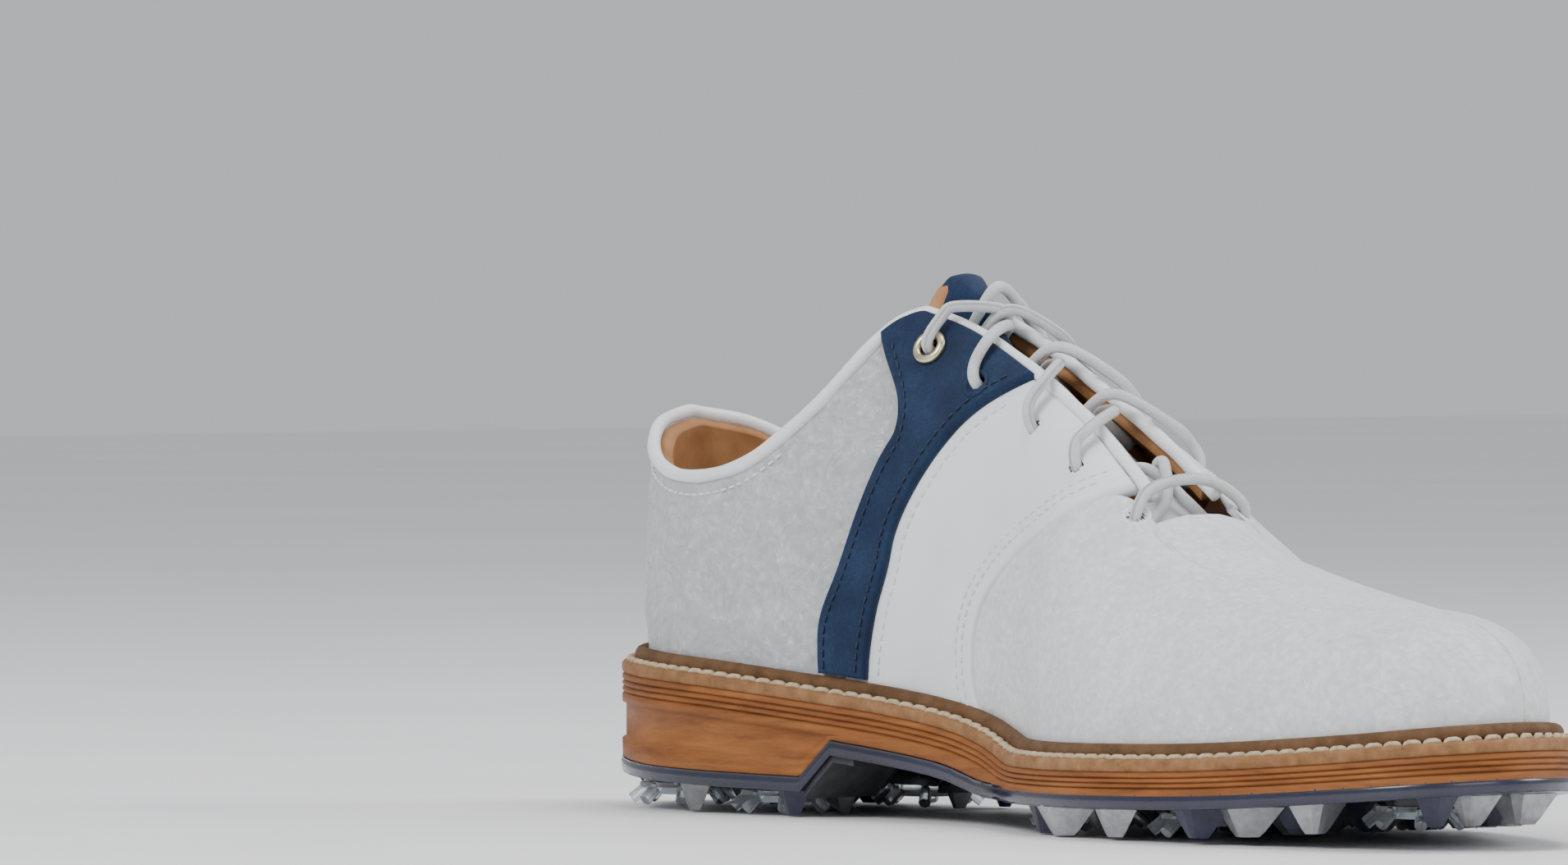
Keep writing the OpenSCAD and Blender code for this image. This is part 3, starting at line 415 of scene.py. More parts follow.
# ---------------------------------------------------------------- materials
class Mat:
    """A node material built step by step; every field works from object or UV coordinates."""

    def __init__(self, name, rough=0.5, spec=0.5, coat=0.0, metal=0.0, trans=0.0, ior=1.5, sub=0.0):
        self.m = bpy.data.materials.new(name)
        self.m.use_nodes = True
        self.t = self.m.node_tree
        self.b = next(n for n in self.t.nodes if n.type == "BSDF_PRINCIPLED")
        for key, value in (("Roughness", rough), ("Specular IOR Level", spec), ("Coat Weight", coat),
                ("Metallic", metal),
                ("Transmission Weight", trans), ("IOR", ior), ("Subsurface Weight", sub)):
            self.b.inputs[key].default_value = value
        self.co = self.node("ShaderNodeTexCoord")
        self.last_bump = None

    def node(self, kind, **props):
        n = self.t.nodes.new(kind)
        for k, v in props.items():
            setattr(n, k, v)
        return n

    def link(self, a, b):
        self.t.links.new(a, b)

    def coords(self, uv=False, scale=(1, 1, 1)):
        mp = self.node("ShaderNodeMapping")
        mp.inputs["Scale"].default_value = scale
        self.link(self.co.outputs["UV" if uv else "Object"], mp.inputs["Vector"])
        return mp.outputs["Vector"]

    def noise(self, scale, detail=4.0, rough=0.55, uv=False, stretch=(1, 1, 1), distortion=0.0):
        n = self.node("ShaderNodeTexNoise")
        n.inputs["Scale"].default_value = scale
        n.inputs["Detail"].default_value = detail
        n.inputs["Roughness"].default_value = rough
        n.inputs["Distortion"].default_value = distortion
        self.link(self.coords(uv, stretch), n.inputs["Vector"])
        return n.outputs["Fac"]

    def voronoi(self, scale, feature="DISTANCE_TO_EDGE", uv=False, stretch=(1, 1, 1), warp=0.0):
        n = self.node("ShaderNodeTexVoronoi", feature=feature)
        n.inputs["Scale"].default_value = scale
        vec = self.coords(uv, stretch)
        if warp:
            w = self.node("ShaderNodeTexNoise")
            w.inputs["Scale"].default_value = scale * 0.6
            self.link(vec, w.inputs["Vector"])
            mx = self.node("ShaderNodeMix", data_type="VECTOR")
            mx.inputs["Factor"].default_value = warp
            self.link(vec, mx.inputs["A"])
            self.link(w.outputs["Color"], mx.inputs["B"])
            vec = mx.outputs["Result"]
        self.link(vec, n.inputs["Vector"])
        return n.outputs["Distance"]

    def wave(self, scale, uv=True, direction="X", stretch=(1, 1, 1), distortion=0.0, detail_scale=1.0,
             profile="SIN"):
        n = self.node("ShaderNodeTexWave", bands_direction=direction, wave_profile=profile)
        n.inputs["Scale"].default_value = scale
        n.inputs["Distortion"].default_value = distortion
        n.inputs["Detail Scale"].default_value = detail_scale
        self.link(self.coords(uv, stretch), n.inputs["Vector"])
        return n.outputs["Fac"]

    def ramp(self, fac, stops):
        n = self.node("ShaderNodeValToRGB")
        e = n.color_ramp.elements
        while len(e) < len(stops):
            e.new(0.5)
        for el, (pos, col) in zip(e, stops):
            el.position = pos
            el.color = (*col, 1) if len(col) == 3 else (col[0], col[0], col[0], 1)
        self.link(fac, n.inputs["Fac"])
        return n.outputs["Color"]

    def color(self, fac, stops):
        self.link(self.ramp(fac, stops), self.b.inputs["Base Color"])

    def roughness(self, fac, lo, hi):
        n = self.node("ShaderNodeMapRange")
        n.inputs["To Min"].default_value = lo
        n.inputs["To Max"].default_value = hi
        self.link(fac, n.inputs["Value"])
        self.link(n.outputs["Result"], self.b.inputs["Roughness"])

    def bump(self, height, depth, strength=1.0):
        n = self.node("ShaderNodeBump")
        n.inputs["Strength"].default_value = strength
        n.inputs["Distance"].default_value = depth
        self.link(height, n.inputs["Height"])
        if self.last_bump:
            self.link(self.last_bump, n.inputs["Normal"])
        self.last_bump = n.outputs["Normal"]
        self.link(self.last_bump, self.b.inputs["Normal"])
        return self

    def math(self, op, a, b):
        n = self.node("ShaderNodeMath", operation=op)
        for k, v in enumerate((a, b)):
            if isinstance(v, (int, float)):
                n.inputs[k].default_value = v
            else:
                self.link(v, n.inputs[k])
        return n.outputs[0]


def white_leather():
    m = Mat("white_leather", rough=0.42, spec=0.45, coat=0.06, sub=0.04)
    m.color(m.noise(38, 3), [(0.3, (0.79, 0.79, 0.8)), (0.7, (0.86, 0.86, 0.87))])
    m.roughness(m.noise(160, 3), 0.36, 0.5)
    m.bump(m.voronoi(1500, warp=0.25), 0.00012, 0.35)
    m.bump(m.noise(2600, 3), 0.00006, 0.35)
    return m.bump(m.noise(45, 2), 0.0006, 0.3).m


def tumbled_leather(name, k):
    m = Mat(name, rough=0.5, spec=0.4, coat=0.04, sub=0.04)
    m.color(m.noise(60, 4), [(0.3, (0.86, 0.86, 0.865)), (0.7, (0.92, 0.92, 0.925))])
    m.roughness(m.noise(260, 3), 0.42, 0.6)
    cells = m.ramp(m.voronoi(240, warp=0.55), [(0.0, (0.0,)), (0.13, (0.8,)), (0.4, (1.0,))])
    m.bump(cells, 0.0011 * k, 0.8)
    creases = m.ramp(m.noise(75, 3, 0.5, distortion=1.6), [(0.42, (1.0,)), (0.5, (0.0,)), (0.56, (1.0,))])
    m.bump(creases, 0.0012 * k, 0.6)
    return m.bump(m.noise(1900, 3), 0.00008, 0.4).m


def navy_nubuck():
    m = Mat("navy_nubuck", rough=0.82, spec=0.25)
    m.b.inputs["Sheen Weight"].default_value = 0.08
    m.b.inputs["Sheen Roughness"].default_value = 0.45
    mix = m.math("ADD", m.math("MULTIPLY", m.noise(70, 5, 0.6), 0.6),
                 m.math("MULTIPLY", m.noise(1400, 4, 0.7), 0.4))
    m.color(mix, [(0.36, (0.005, 0.014, 0.038)), (0.5, (0.008, 0.022, 0.058)),
                  (0.66, (0.016, 0.038, 0.088))])
    m.roughness(m.noise(300, 4), 0.72, 0.92)
    m.bump(m.noise(2400, 5, 0.7), 0.00016, 0.55)
    return m.bump(m.noise(210, 3), 0.0003, 0.25).m


def tan_lining():
    m = Mat("tan_lining", rough=0.62, spec=0.3, sub=0.05)
    m.color(m.noise(90, 5, 0.6),
            [(0.32, (0.3, 0.13, 0.045)), (0.55, (0.42, 0.2, 0.08)), (0.75, (0.5, 0.27, 0.12))])
    m.roughness(m.noise(400, 3), 0.5, 0.75)
    m.bump(m.voronoi(1100, warp=0.3), 0.00016, 0.4)
    return m.bump(m.noise(240, 3), 0.0004, 0.3).m


def tan_midsole():
    m = Mat("tan_midsole", rough=0.55, spec=0.35)
    grain = m.noise(130, 6, 0.65, stretch=(0.35, 0.35, 3.2), distortion=0.3)
    m.color(grain, [(0.3, (0.15, 0.046, 0.009)), (0.52, (0.25, 0.085, 0.018)),
                    (0.72, (0.33, 0.125, 0.032))])
    m.roughness(m.noise(500, 3), 0.45, 0.68)
    return m.bump(m.noise(900, 4), 0.00018, 0.45).m


def welt_leather(name, dark):
    m = Mat(name, rough=0.68, spec=0.3)
    # The dark copy is the same welt leather at about half brightness: painted shade for the storm welt,
    # which lies in shade along the foot of the upper.
    k = 0.33 if dark else 0.72
    m.color(m.noise(220, 5, 0.65),
            [(0.3, (0.27 * k, 0.125 * k, 0.045 * k)), (0.55, (0.44 * k, 0.22 * k, 0.09 * k)),
            (0.78, (0.58 * k, 0.33 * k, 0.16 * k))])
    m.roughness(m.noise(700, 3), 0.55, 0.85)
    m.bump(m.voronoi(1300, warp=0.4), 0.00025, 0.5)
    return m.bump(m.noise(700, 4), 0.0003, 0.4).m


def rope_white():
    m = Mat("rope_white", rough=0.62, spec=0.35, sub=0.08)
    m.color(m.noise(900, 4), [(0.3, (0.7, 0.69, 0.66)), (0.7, (0.86, 0.85, 0.82))])
    m.roughness(m.noise(1600, 3), 0.5, 0.75)
    return m.bump(m.noise(4200, 3), 0.0001, 0.5).m


def welt_twine():
    m = Mat("welt_twine", rough=0.7, spec=0.3)
    m.color(m.noise(700, 4), [(0.3, (0.36, 0.26, 0.15)), (0.7, (0.58, 0.47, 0.32))])
    m.roughness(m.noise(1600, 3), 0.55, 0.8)
    return m.bump(m.noise(3600, 3), 0.00012, 0.6).m


def navy_thread():
    m = Mat("navy_thread", rough=0.5, spec=0.4)
    m.color(m.noise(1500, 3), [(0.35, (0.004, 0.009, 0.024)), (0.65, (0.01, 0.022, 0.055))])
    m.roughness(m.noise(2000, 2), 0.4, 0.62)
    return m.bump(m.noise(5200, 2), 0.00008, 0.5).m


def lace_braid():
    m = Mat("lace_braid", rough=0.55, spec=0.35, sub=0.06)
    m.color(m.noise(240, 4), [(0.3, (0.77, 0.77, 0.78)), (0.7, (0.88, 0.88, 0.885))])
    m.roughness(m.noise(900, 3), 0.46, 0.68)
    a = m.wave(1.3, direction="DIAGONAL", stretch=(1.0, 7.0, 1))
    b = m.wave(1.3, direction="DIAGONAL", stretch=(1.0, -7.0, 1))
    m.bump(m.math("MAXIMUM", a, b), 0.0004, 0.8)
    return m.bump(m.noise(3200, 3), 0.00008, 0.4).m


def brass():
    m = Mat("pale_brass", rough=0.25, metal=1.0)
    m.color(m.noise(420, 4), [(0.3, (0.6, 0.52, 0.32)), (0.6, (0.76, 0.69, 0.48)),
            (0.8, (0.83, 0.78, 0.6))])
    m.roughness(m.noise(900, 4), 0.16, 0.42)
    return m.bump(m.noise(1500, 3), 0.00005, 0.4).m


def navy_tpu():
    m = Mat("navy_tpu", rough=0.2, spec=0.55, coat=0.35)
    m.b.inputs["Coat Roughness"].default_value = 0.12
    m.color(m.noise(60, 4), [(0.35, (0.006, 0.007, 0.02)), (0.65, (0.013, 0.016, 0.04))])
    m.roughness(m.noise(340, 4), 0.16, 0.36)
    return m.bump(m.noise(160, 3), 0.0003, 0.25).m


def silver_paint(name, light):
    m = Mat(name, rough=0.32, metal=0.85)
    k = 0.72 if light else 0.4
    m.color(m.noise(500, 4), [(0.3, (0.44 * k, 0.45 * k, 0.47 * k)), (0.7, (0.66 * k, 0.67 * k, 0.69 * k))])
    m.roughness(m.noise(900, 4), 0.24, 0.46)
    m.bump(m.noise(5200, 2), 0.00005, 0.4)
    return m.bump(m.noise(260, 3), 0.0002, 0.25).m


def dark_plastic(name, tint, rough=0.3):
    m = Mat(name, rough=rough, spec=0.5)
    m.color(m.noise(300, 4), [(0.35, tuple(0.7 * c for c in tint)), (0.7, tuple(1.25 * c for c in tint))])
    m.roughness(m.noise(700, 4), rough * 0.8, rough * 1.35)
    m.bump(m.noise(2600, 3), 0.00008, 0.4)
    return m.bump(m.noise(200, 3), 0.0002, 0.25).m


def clear_cleat():
    m = Mat("clear_cleat", rough=0.12, trans=0.88, ior=1.47)
    m.color(m.noise(260, 3), [(0.3, (0.8, 0.86, 0.9)), (0.7, (0.93, 0.97, 1.0))])
    m.roughness(m.noise(500, 4), 0.07, 0.3)
    return m.bump(m.noise(600, 3), 0.0002, 0.3).m


def frosted():
    m = Mat("frosted_core", rough=0.42, trans=0.25, ior=1.45, sub=0.2)
    m.color(m.noise(300, 3), [(0.3, (0.72, 0.78, 0.82)), (0.7, (0.86, 0.9, 0.93))])
    m.roughness(m.noise(800, 3), 0.3, 0.55)
    return m.bump(m.noise(1800, 3), 0.0001, 0.4).m


def plain(name, lo, hi, rough, scale=400, depth=0.0002):
    m = Mat(name, rough=rough, spec=0.3)
    m.color(m.noise(scale, 5, 0.6), [(0.32, lo), (0.68, hi)])
    m.roughness(m.noise(scale * 2, 3), rough * 0.85, min(1, rough * 1.15))
    return m.bump(m.noise(scale * 3, 4), depth, 0.5).m


WHITE, TUMBLED, NAVY, TAN = white_leather(), tumbled_leather("tumbled_leather",
        0.3), navy_nubuck(), tan_lining()
VAMP = tumbled_leather("vamp_leather", 0.06)
# STORM is the darkened copy of the welt leather, so its darkness is painted shade, not a different leather.
MIDSOLE, WELT, STORM, ROPE = tan_midsole(), welt_leather("welt_strip", False), welt_leather("storm_welt",
        True), rope_white()
THREAD, BRAID, BRASS, TPU, TWINE = navy_thread(), lace_braid(), brass(), navy_tpu(), welt_twine()
SILVER, GREY, DARK = silver_paint("lug_silver", True), silver_paint("lug_grey",
        False), dark_plastic("lug_dark", (0.02, 0.022, 0.05))
RUBBER, GUN = dark_plastic("breast_rubber", (0.035, 0.035, 0.04), 0.6), silver_paint("gunmetal", False)
CLEAR, CORE = clear_cleat(), frosted()
BLACK = dark_plastic("window_dark", (0.008, 0.008, 0.012), 0.15)
CORK = plain("cork", (0.26, 0.15, 0.07), (0.52, 0.36, 0.2), 0.85, 500, 0.0005)
BOARD = plain("board", (0.5, 0.43, 0.3), (0.62, 0.55, 0.42), 0.8)
FOAM = plain("foam", (0.66, 0.6, 0.42), (0.78, 0.74, 0.56), 0.9, 900, 0.0004)
CLOTH = plain("footbed_cloth", (0.05, 0.065, 0.11), (0.1, 0.125, 0.2), 0.9, 1500, 0.0003)
STEEL = silver_paint("spring_steel", True)
FILM = dark_plastic("aglet_film", (0.6, 0.61, 0.63), 0.2)
CARRIED = {"outsole": TPU, "breast_blocks": RUBBER, "shank_bridge": GUN, "shank_window": BLACK,
           "cleat_receptacles": BLACK, "cork_filler": CORK, "shank_spring": STEEL, "lasting_board": BOARD,
           "footbed": CLOTH, "heel_pad": TAN, "vamp_lining": TAN, "toe_puff": BOARD, "heel_counter": BOARD,
           "collar_foam": FOAM, "lace_aglets": FILM}
for name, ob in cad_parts.items():
    mat = CARRIED.get(name) or (CLEAR if name[:6] == "cleat_" and name[6:].isdigit()
            else CORE if name.startswith("cleat_core") else None)
    if mat:
        ob.data.materials.clear()
        ob.data.materials.append(mat)

# ---------------------------------------------------------------- upper
EYE_R = 2.3
EYE_CUT = EYE_R - 0.5
OVERLAY_FOOT = 3.4
PANEL_T = -1.4


def pattern(line, side=None, n=40, foot=0.0):
    """The line as a smooth run of points from the feather edge up to the topline."""
    q = along(line, np.linspace(0, 1, n))
    g0, gn = q[0, 0], q[-1, 0]
    zl = plane(side, g0)[5] + foot
    q[0, 1] = zl
    k = np.linspace(0, 1, n)
    top = edge_z(gn) - 1.2
    q[:, 1] += np.clip((k - 0.8) / 0.2, 0, 1) * (top - q[-1, 1])
    return q


def low_line(side, g0, g1, foot=0.0):
    g = np.linspace(g0, g1, 30)
    return np.stack([g, plane(side, g)[5] + foot], 1)


def high_line(g0, g1, drop=1.2):
    g = np.linspace(g0, g1, 30)
    return np.stack([g, edge_z(g) - drop], 1)


def eyelet_holes(side):
    return [(skin_z(side, g, z, 1.0 if k < 4 else 0.0), EYE_CUT) for k, (g, z) in enumerate(EYELETS)]


def pebble(P, U, V, near):
    """Soft pull folds and pebbles of the tumbled leather."""
    x, y, z = P[..., 0], P[..., 1], P[..., 2]
    a = np.sin(0.21 * x + 0.35 * z + 1.7 * np.sin(0.06 * z + 0.05 * x)) * np.sin(0.13 * x - 0.17 * z + 0.8)
    b = np.sin(0.9 * x + 1.3 * np.sin(0.5 * z)) * np.sin(1.05 * z + 1.1 * np.sin(0.6 * x + y * 0.3))
    return (0.36 * a + 0.16 * b) * np.clip(near / 5, 0, 1)


def faint(P, U, V, near):
    x, y, z = P[..., 0], P[..., 1], P[..., 2]
    return 0.05 * np.sin(0.11 * x + 0.16 * z + 1.3 * np.sin(0.05 * y)) * np.clip(near / 6, 0, 1)


def on_skin(f, side):
    def point(u, v, d):
        q = f(u, v)
        return skin_z(side, q[..., 0], q[..., 1], d)
    return point


for SIDE, TAG in ((MEDIAL, "medial"), (LATERAL, "lateral")):
    flip = SIDE == LATERAL
    back = np.array([[G_HEEL + 0.02, z] for z in (34, 52, 70, 86.4)])
    back[0, 1] = plane(SIDE, G_HEEL)[5]
    front = pattern(SADDLE_BACK, SIDE)
    front[:, 0] += 4
    f = coons(back, front, low_line(SIDE, back[0, 0], front[0, 0]), high_line(back[0, 0], front[-1, 0]))
    settle(sheet("quarter_" + TAG, on_skin(f, SIDE), 190, 90, 0.0, PANEL_T, TUMBLED, 0.5, (0, 1, 1, 1),
                 pebble, flip,
                 eyelet_holes(SIDE)), "shoe", "quarter_" + TAG)
    left, right = pattern(SADDLE_BACK, SIDE, n=60), pattern(VAMP_SEAM, SIDE, n=60)
    right[:, 0] += 1.2
    f = coons(left, right, low_line(SIDE, left[0, 0], right[0, 0]), high_line(left[-1, 0], right[-1, 0]))
    lift = lambda P, U, V, near: 0.9 * np.clip((U - 0.45) / 0.3, 0, 1) + faint(P, U, V, near)
    settle(sheet("saddle_" + TAG, on_skin(f, SIDE), 100, 110, 0.25, PANEL_T, WHITE, 0.7, (0, 1, 1, 1), lift,
                 flip,
                 eyelet_holes(SIDE)), "shoe", "saddle_" + TAG)
    left, right = pattern(STRIPE_BACK, SIDE, n=60, foot=OVERLAY_FOOT), pattern(STRIPE_FRONT, SIDE, n=60,
            foot=OVERLAY_FOOT)
    f = coons(left, right, low_line(SIDE, left[0, 0], right[0, 0], OVERLAY_FOOT),
              high_line(left[-1, 0], right[-1, 0]))
    settle(sheet("stripe_" + TAG, on_skin(f, SIDE), 70, 130, 2.1, 0.3, NAVY, 0.75, (1, 1, 1, 1), faint,
                 flip,
                 [(skin_z(SIDE, g, z, 1.6), EYE_R) for g, z in EYELETS[:2]]),
           "shoe", "stripe_" + TAG)


# ---- vamp
VAMP_BACK = [[-18.8, 24], [-21.3, 30.6], [-21.7, 38], [-20.5, 44.3], [-16.9, 50.6], [-8.2, 58], [3.5, 63.4],
             [15, 68.6], [26, 73.2], [34, 70.9], [39.5, 67.2], [43, 80]]


def cap_point(back_line, uc=0.6, spread_t=1.3):
    def point(u, v, d):
        vv = 1 - np.abs(2 * v - 1)
        b = along(back_line, vv)
        out = np.zeros(u.shape + (3,))
        for side in (MEDIAL, LATERAL):
            m = (v <= 0.5) if side == MEDIAL else (v > 0.5)
            gb, zb = b[..., 0][m], b[..., 1][m]
            zb = np.where(vv[m] <= 0, plane(side, gb)[5], zb)
            tb = np.where(vv[m] >= 0.999, 1.0, t_at(side, gb, zb))
            t1 = vv[m] ** spread_t
            uu, dd = u[m], d[m]
            fr = np.clip(uu / uc, 0, 1)
            g = np.where(uu <= uc, gb + (TOE_C - gb) * fr, TOE_C + (G_TOE - TOE_C) * (uu - uc) / (1 - uc))
            out[m] = skin(side, g, tb + (t1 - tb) * fr, dd)
        return out
    return point


def vamp_relief(P, U, V, near):
    x, y, z = P[..., 0], P[..., 1], P[..., 2]
    crease = np.exp(-((x - 40 - 0.25 * z) / 14) ** 2) * np.sin(0.75 * x - 0.12 * z + 0.6 * np.sin(0.1 * y))
    return (0.09 * crease + 0.05 * np.sin(0.1 * x + 0.07 * y)) * np.clip(near / 5, 0, 1)


vamp_holes = [(skin_z(s, *EYELETS[4], 0.0), EYE_CUT) for s in (MEDIAL, LATERAL)]
settle(sheet("vamp", cap_point(VAMP_BACK), 0, 0, 0.0, PANEL_T, VAMP, 0.6, (1, 0, 1, 1), vamp_relief, False,
             vamp_holes,
             us=np.linspace(0, 1, 190), vs=np.linspace(0, 1, 171)), "shoe", "vamp")


# ---- heel: backstay, lining with its padded collar
def heel_point(g_end, low, high):
    def point(u, v, d):
        out = np.zeros(u.shape + (3,))
        w = np.abs(2 * u - 1)
        g = G_HEEL + (g_end(v) - G_HEEL) * w
        for side in (MEDIAL, LATERAL):
            m = (u <= 0.5) if side == MEDIAL else (u > 0.5)
            lo, hi = low(side, g[m]), high(g[m])
            out[m] = skin_z(side, g[m], lo + (hi - lo) * v[m], d[m])
        return out
    return point


settle(sheet("backstay", heel_point(lambda v: -155 - 3.5 * v, lambda s, g: plane(s, g)[5] + OVERLAY_FOOT,
        lambda g: edge_z(g) - 2.2),
             44, 70, 1.4, 0.0, TUMBLED, 0.6, (1, 1, 1, 1), pebble), "shoe", "backstay")


def collar_depth(P, U, V, near):
    k = np.clip((V - 0.8) / 0.2, 0, 1)
    return 2.2 * k * k * (3 - 2 * k) + 0.12 * np.sin(0.5 * P[..., 0]) * k


lining_end = lambda v: along([[q[0] - 0.4, q[1]] for q in VAMP_SEAM], v)[..., 0]
settle(sheet("collar_lining",
             heel_point(lining_end, lambda s, g: plane(s, g)[5] + 3, lambda g: edge_z(g) - 0.9),
             260, 60, -3.4, -4.4, TAN, 0.3, (0, 0, 0, 1), collar_depth,
             holes=[(skin_z(s, g, z, -4.0), 2.3) for s in (MEDIAL, LATERAL) for g, z in EYELETS[:4]]),
       "shoe", "collar_lining")

# ---- piping rolled round the topline
PIPING_R, PIPING_END, PIPING_N = 1.5, 34, 260
gs = np.concatenate([np.linspace(PIPING_END, G_HEEL, PIPING_N),
        np.linspace(G_HEEL, PIPING_END, PIPING_N)[1:]])
pts = np.array([skin_z(MEDIAL if i < PIPING_N else LATERAL, g, float(edge_z(g)) - 0.3, 0.15) for i,
                g in enumerate(gs)])
pts = resampled(pts, 0.8)
wob = PIPING_R + 0.05 * np.sin(np.arange(len(pts)) * 0.37) + 0.04 * np.sin(np.arange(len(pts)) * 0.11 + 1)
settle(tube("topline_piping", pts, PIPING_R, WHITE, 14, radii=wob), "shoe", "topline_piping")

# ---- tongue
TONGUE_RISE = [[-64, 12], [-47, 13], [-42, 11.5], [-38, 8], [-34, 4], [-30, 1.5], [-26, 0], [50, 0]]
TONGUE_EDGE = [[-62, 0.66], [-52, 0.6], [-20, 0.5], [10, 0.5], [50, 0.6]]
TONGUE_TOP = -8.4


def ease(u):
    c = np.clip(u, 0, 1)
    return c * c * (3 - 2 * c)


def tongue_point(u, v, d):
    g0 = 50 + (-47 - 50) * u
    vv = 1 - np.abs(2 * v - 1)
    g = g0 - 11 * np.maximum(0, (-10 - g0) / 37) ** 2 * (1 - vv) ** 1.8
    out = np.zeros(u.shape + (3,))
    for side in (MEDIAL, LATERAL):
        m = (v <= 0.5) if side == MEDIAL else (v > 0.5)
        gm = g[m]
        low = smooth(TONGUE_EDGE, gm)
        t = low + (1 - low) * vv[m]
        e = t_at(side, gm, edge_z(gm))
        k = np.clip((-40 - gm) / 10, 0, 1)
        e2 = e + (low - e) * 0.6 * k
        rise = smooth(TONGUE_RISE, gm) * ease(1.5 * (t - e2) / (1 - e2) - 0.15 * (1 - k))
        sink = smooth([[-60, 0], [-10, 0], [8, 0.9], [40, 0.9], [50, 0.3]], gm)
        out[m] = skin(side, gm, t, TONGUE_TOP + rise - sink + d[m])
    return out


def puff(P, U, V, near):
    return 0.5 * np.clip(near / 6, 0, 1) * (0.6 + 0.4 * np.sin(0.35 * P[..., 0] + 0.2 * P[..., 1]))


settle(sheet("tongue_lower", tongue_point, 0, 0, 0.0, -3.6, WHITE, 0.8, (1, 1, 1, 1), puff,
        us=np.linspace(0, 0.69, 80), vs=spread(70, 0.4)), "tongue", None)
settle(sheet("tongue_face", tongue_point, 0, 0, 0.7, -3.4, NAVY, 1.0, (1, 1, 1, 1), puff,
        us=np.linspace(0.66, 1, 70), vs=spread(90, 0.4)), "tongue",
        ["tongue_face", "tongue_foam"])
settle(sheet("tongue_lining", tongue_point, 0, 0, -3.6, -4.7, TAN, 0.4, (1, 1, 1, 1), None,
        us=np.linspace(0, 1.012, 120), vs=spread(70, 0.4)), "tongue", "tongue_lining")
rim = [tongue_point(np.array([a]), np.array([b]), np.array([-2.6]))[0]
       for a, b in [(x, 0.0) for x in np.linspace(0.7, 1, 30)]
       + [(1.0, x) for x in np.linspace(0.02, 0.98, 60)]
       + [(x, 1.0) for x in np.linspace(1, 0.7, 30)]]
settle(tube("tongue_rim", smooth_path(np.array(rim)[::2], 0.9, 8), 2.1, TAN, 12), "tongue",
        None)


# ---- eyelets, grommets and lace
STRIPE_TOP, SADDLE_TOP, VAMP_TOP = 2.1, 0.5, 0.0
def lathe(origin, n, profile, sides=40):
    n = np.asarray(n) / np.linalg.norm(n)
    a = np.cross(n, [1.0, 0.2, 0.1])
    a /= np.linalg.norm(a)
    b = np.cross(n, a)
    V, F, m = [], [], len(profile)
    for k in range(sides):
        w = 2 * math.pi * k / sides
        for r, h in profile:
            V.append(origin + r * (math.cos(w) * a + math.sin(w) * b) + h * n)
    for k in range(sides):
        for j in range(m):
            F.append([k * m + j, k * m + (j + 1) % m, ((k + 1) % sides) * m + (j + 1) % m,
                      ((k + 1) % sides) * m + j])
    return V, F


def arc(cr, ch, r, a0, a1, n=8):
    return [(cr + r * math.cos(math.radians(a0 + (a1 - a0) * i / n)),
             ch + r * math.sin(math.radians(a0 + (a1 - a0) * i / n)))
            for i in range(n + 1)]


grommets, rims_white, rims_navy, bore_shade_discs = [], [], [], []
for SIDE in (MEDIAL, LATERAL):
    for k, (g, z) in enumerate(EYELETS):
        n, o = normal(SIDE, g, z), skin_z(SIDE, g, z, 0.0)
        top = STRIPE_TOP if k < 2 else SADDLE_TOP if k < 4 else VAMP_TOP
        # A thin black disc a little below each eyelet's top: painted shade standing in for the dark inside
        # of the eyelet hole.
        bore_shade_discs.append(lathe(o, n, [(0.01, top - 1.9), (2.4, top - 1.9), (2.4, top - 2.2), (0.01, top - 2.2)],
                24))
        if k == 0:
            ring = arc(3.15, top + 0.35, 1.0, -30, 210, 14) + [(2.15, top - 1.2), (2.5, top - 1.2),
                    (4.0, top - 0.25)]
            grommets.append(lathe(o, n, ring, 56))
        else:
            ring = arc(2.9, top - 0.62, 0.75, 60, 180, 8) + [(2.15, top - 1.6), (3.3, top - 1.6)]
            (rims_navy if k < 2 else rims_white).append(lathe(o, n, ring, 40))
settle(merged("eyelet_grommets", grommets, BRASS), "shoe", "eyelet_grommets")
settle(merged("eyelet_rims_white", rims_white, WHITE), "shoe", None)
settle(merged("eyelet_rims_navy", rims_navy, NAVY), "shoe", None)
# The black discs inside the eyelets are painted shade, not a part of the shoe.
settle(merged("eyelet_bores", bore_shade_discs, BLACK), "shoe", None)

LACE_R, LACE_IN, LACE_OVER = 1.3, -6.0, 3.5


def bore_at(side, e, d):
    return skin_z(side, e[0], e[1], 0.0) + d * normal(side, *e)


def over_ridge(g, dz):
    p = plane(MEDIAL, g)
    return np.array([float(p[0]), float(p[1]), float(p[6]) + dz])


def sz(side, g, z, d):
    return skin_z(side, g, float(z), d)


def lace_pass(k, side):
    e, n = EYELETS[k], EYELETS[k - 1]
    g2 = n[0] + 4
    top = 1.6 if k < 2 else 0.4
    return [bore_at(side, e, LACE_IN), bore_at(side, e, top + 0.6),
            sz(side, e[0] - 1, e[1] + 2.3, LACE_OVER + 0.4),
            sz(side, e[0], edge_z(e[0]) - 1.6, LACE_OVER + 1.2),
            over_ridge((e[0] + n[0]) / 2 + 3, 3.4 if side == LATERAL else -0.2),
            sz(-side, g2, edge_z(g2) + 1.6, LACE_IN + 0.6),
            sz(-side, g2 - 2, edge_z(g2 - 2) - 5, LACE_IN - 0.1)]


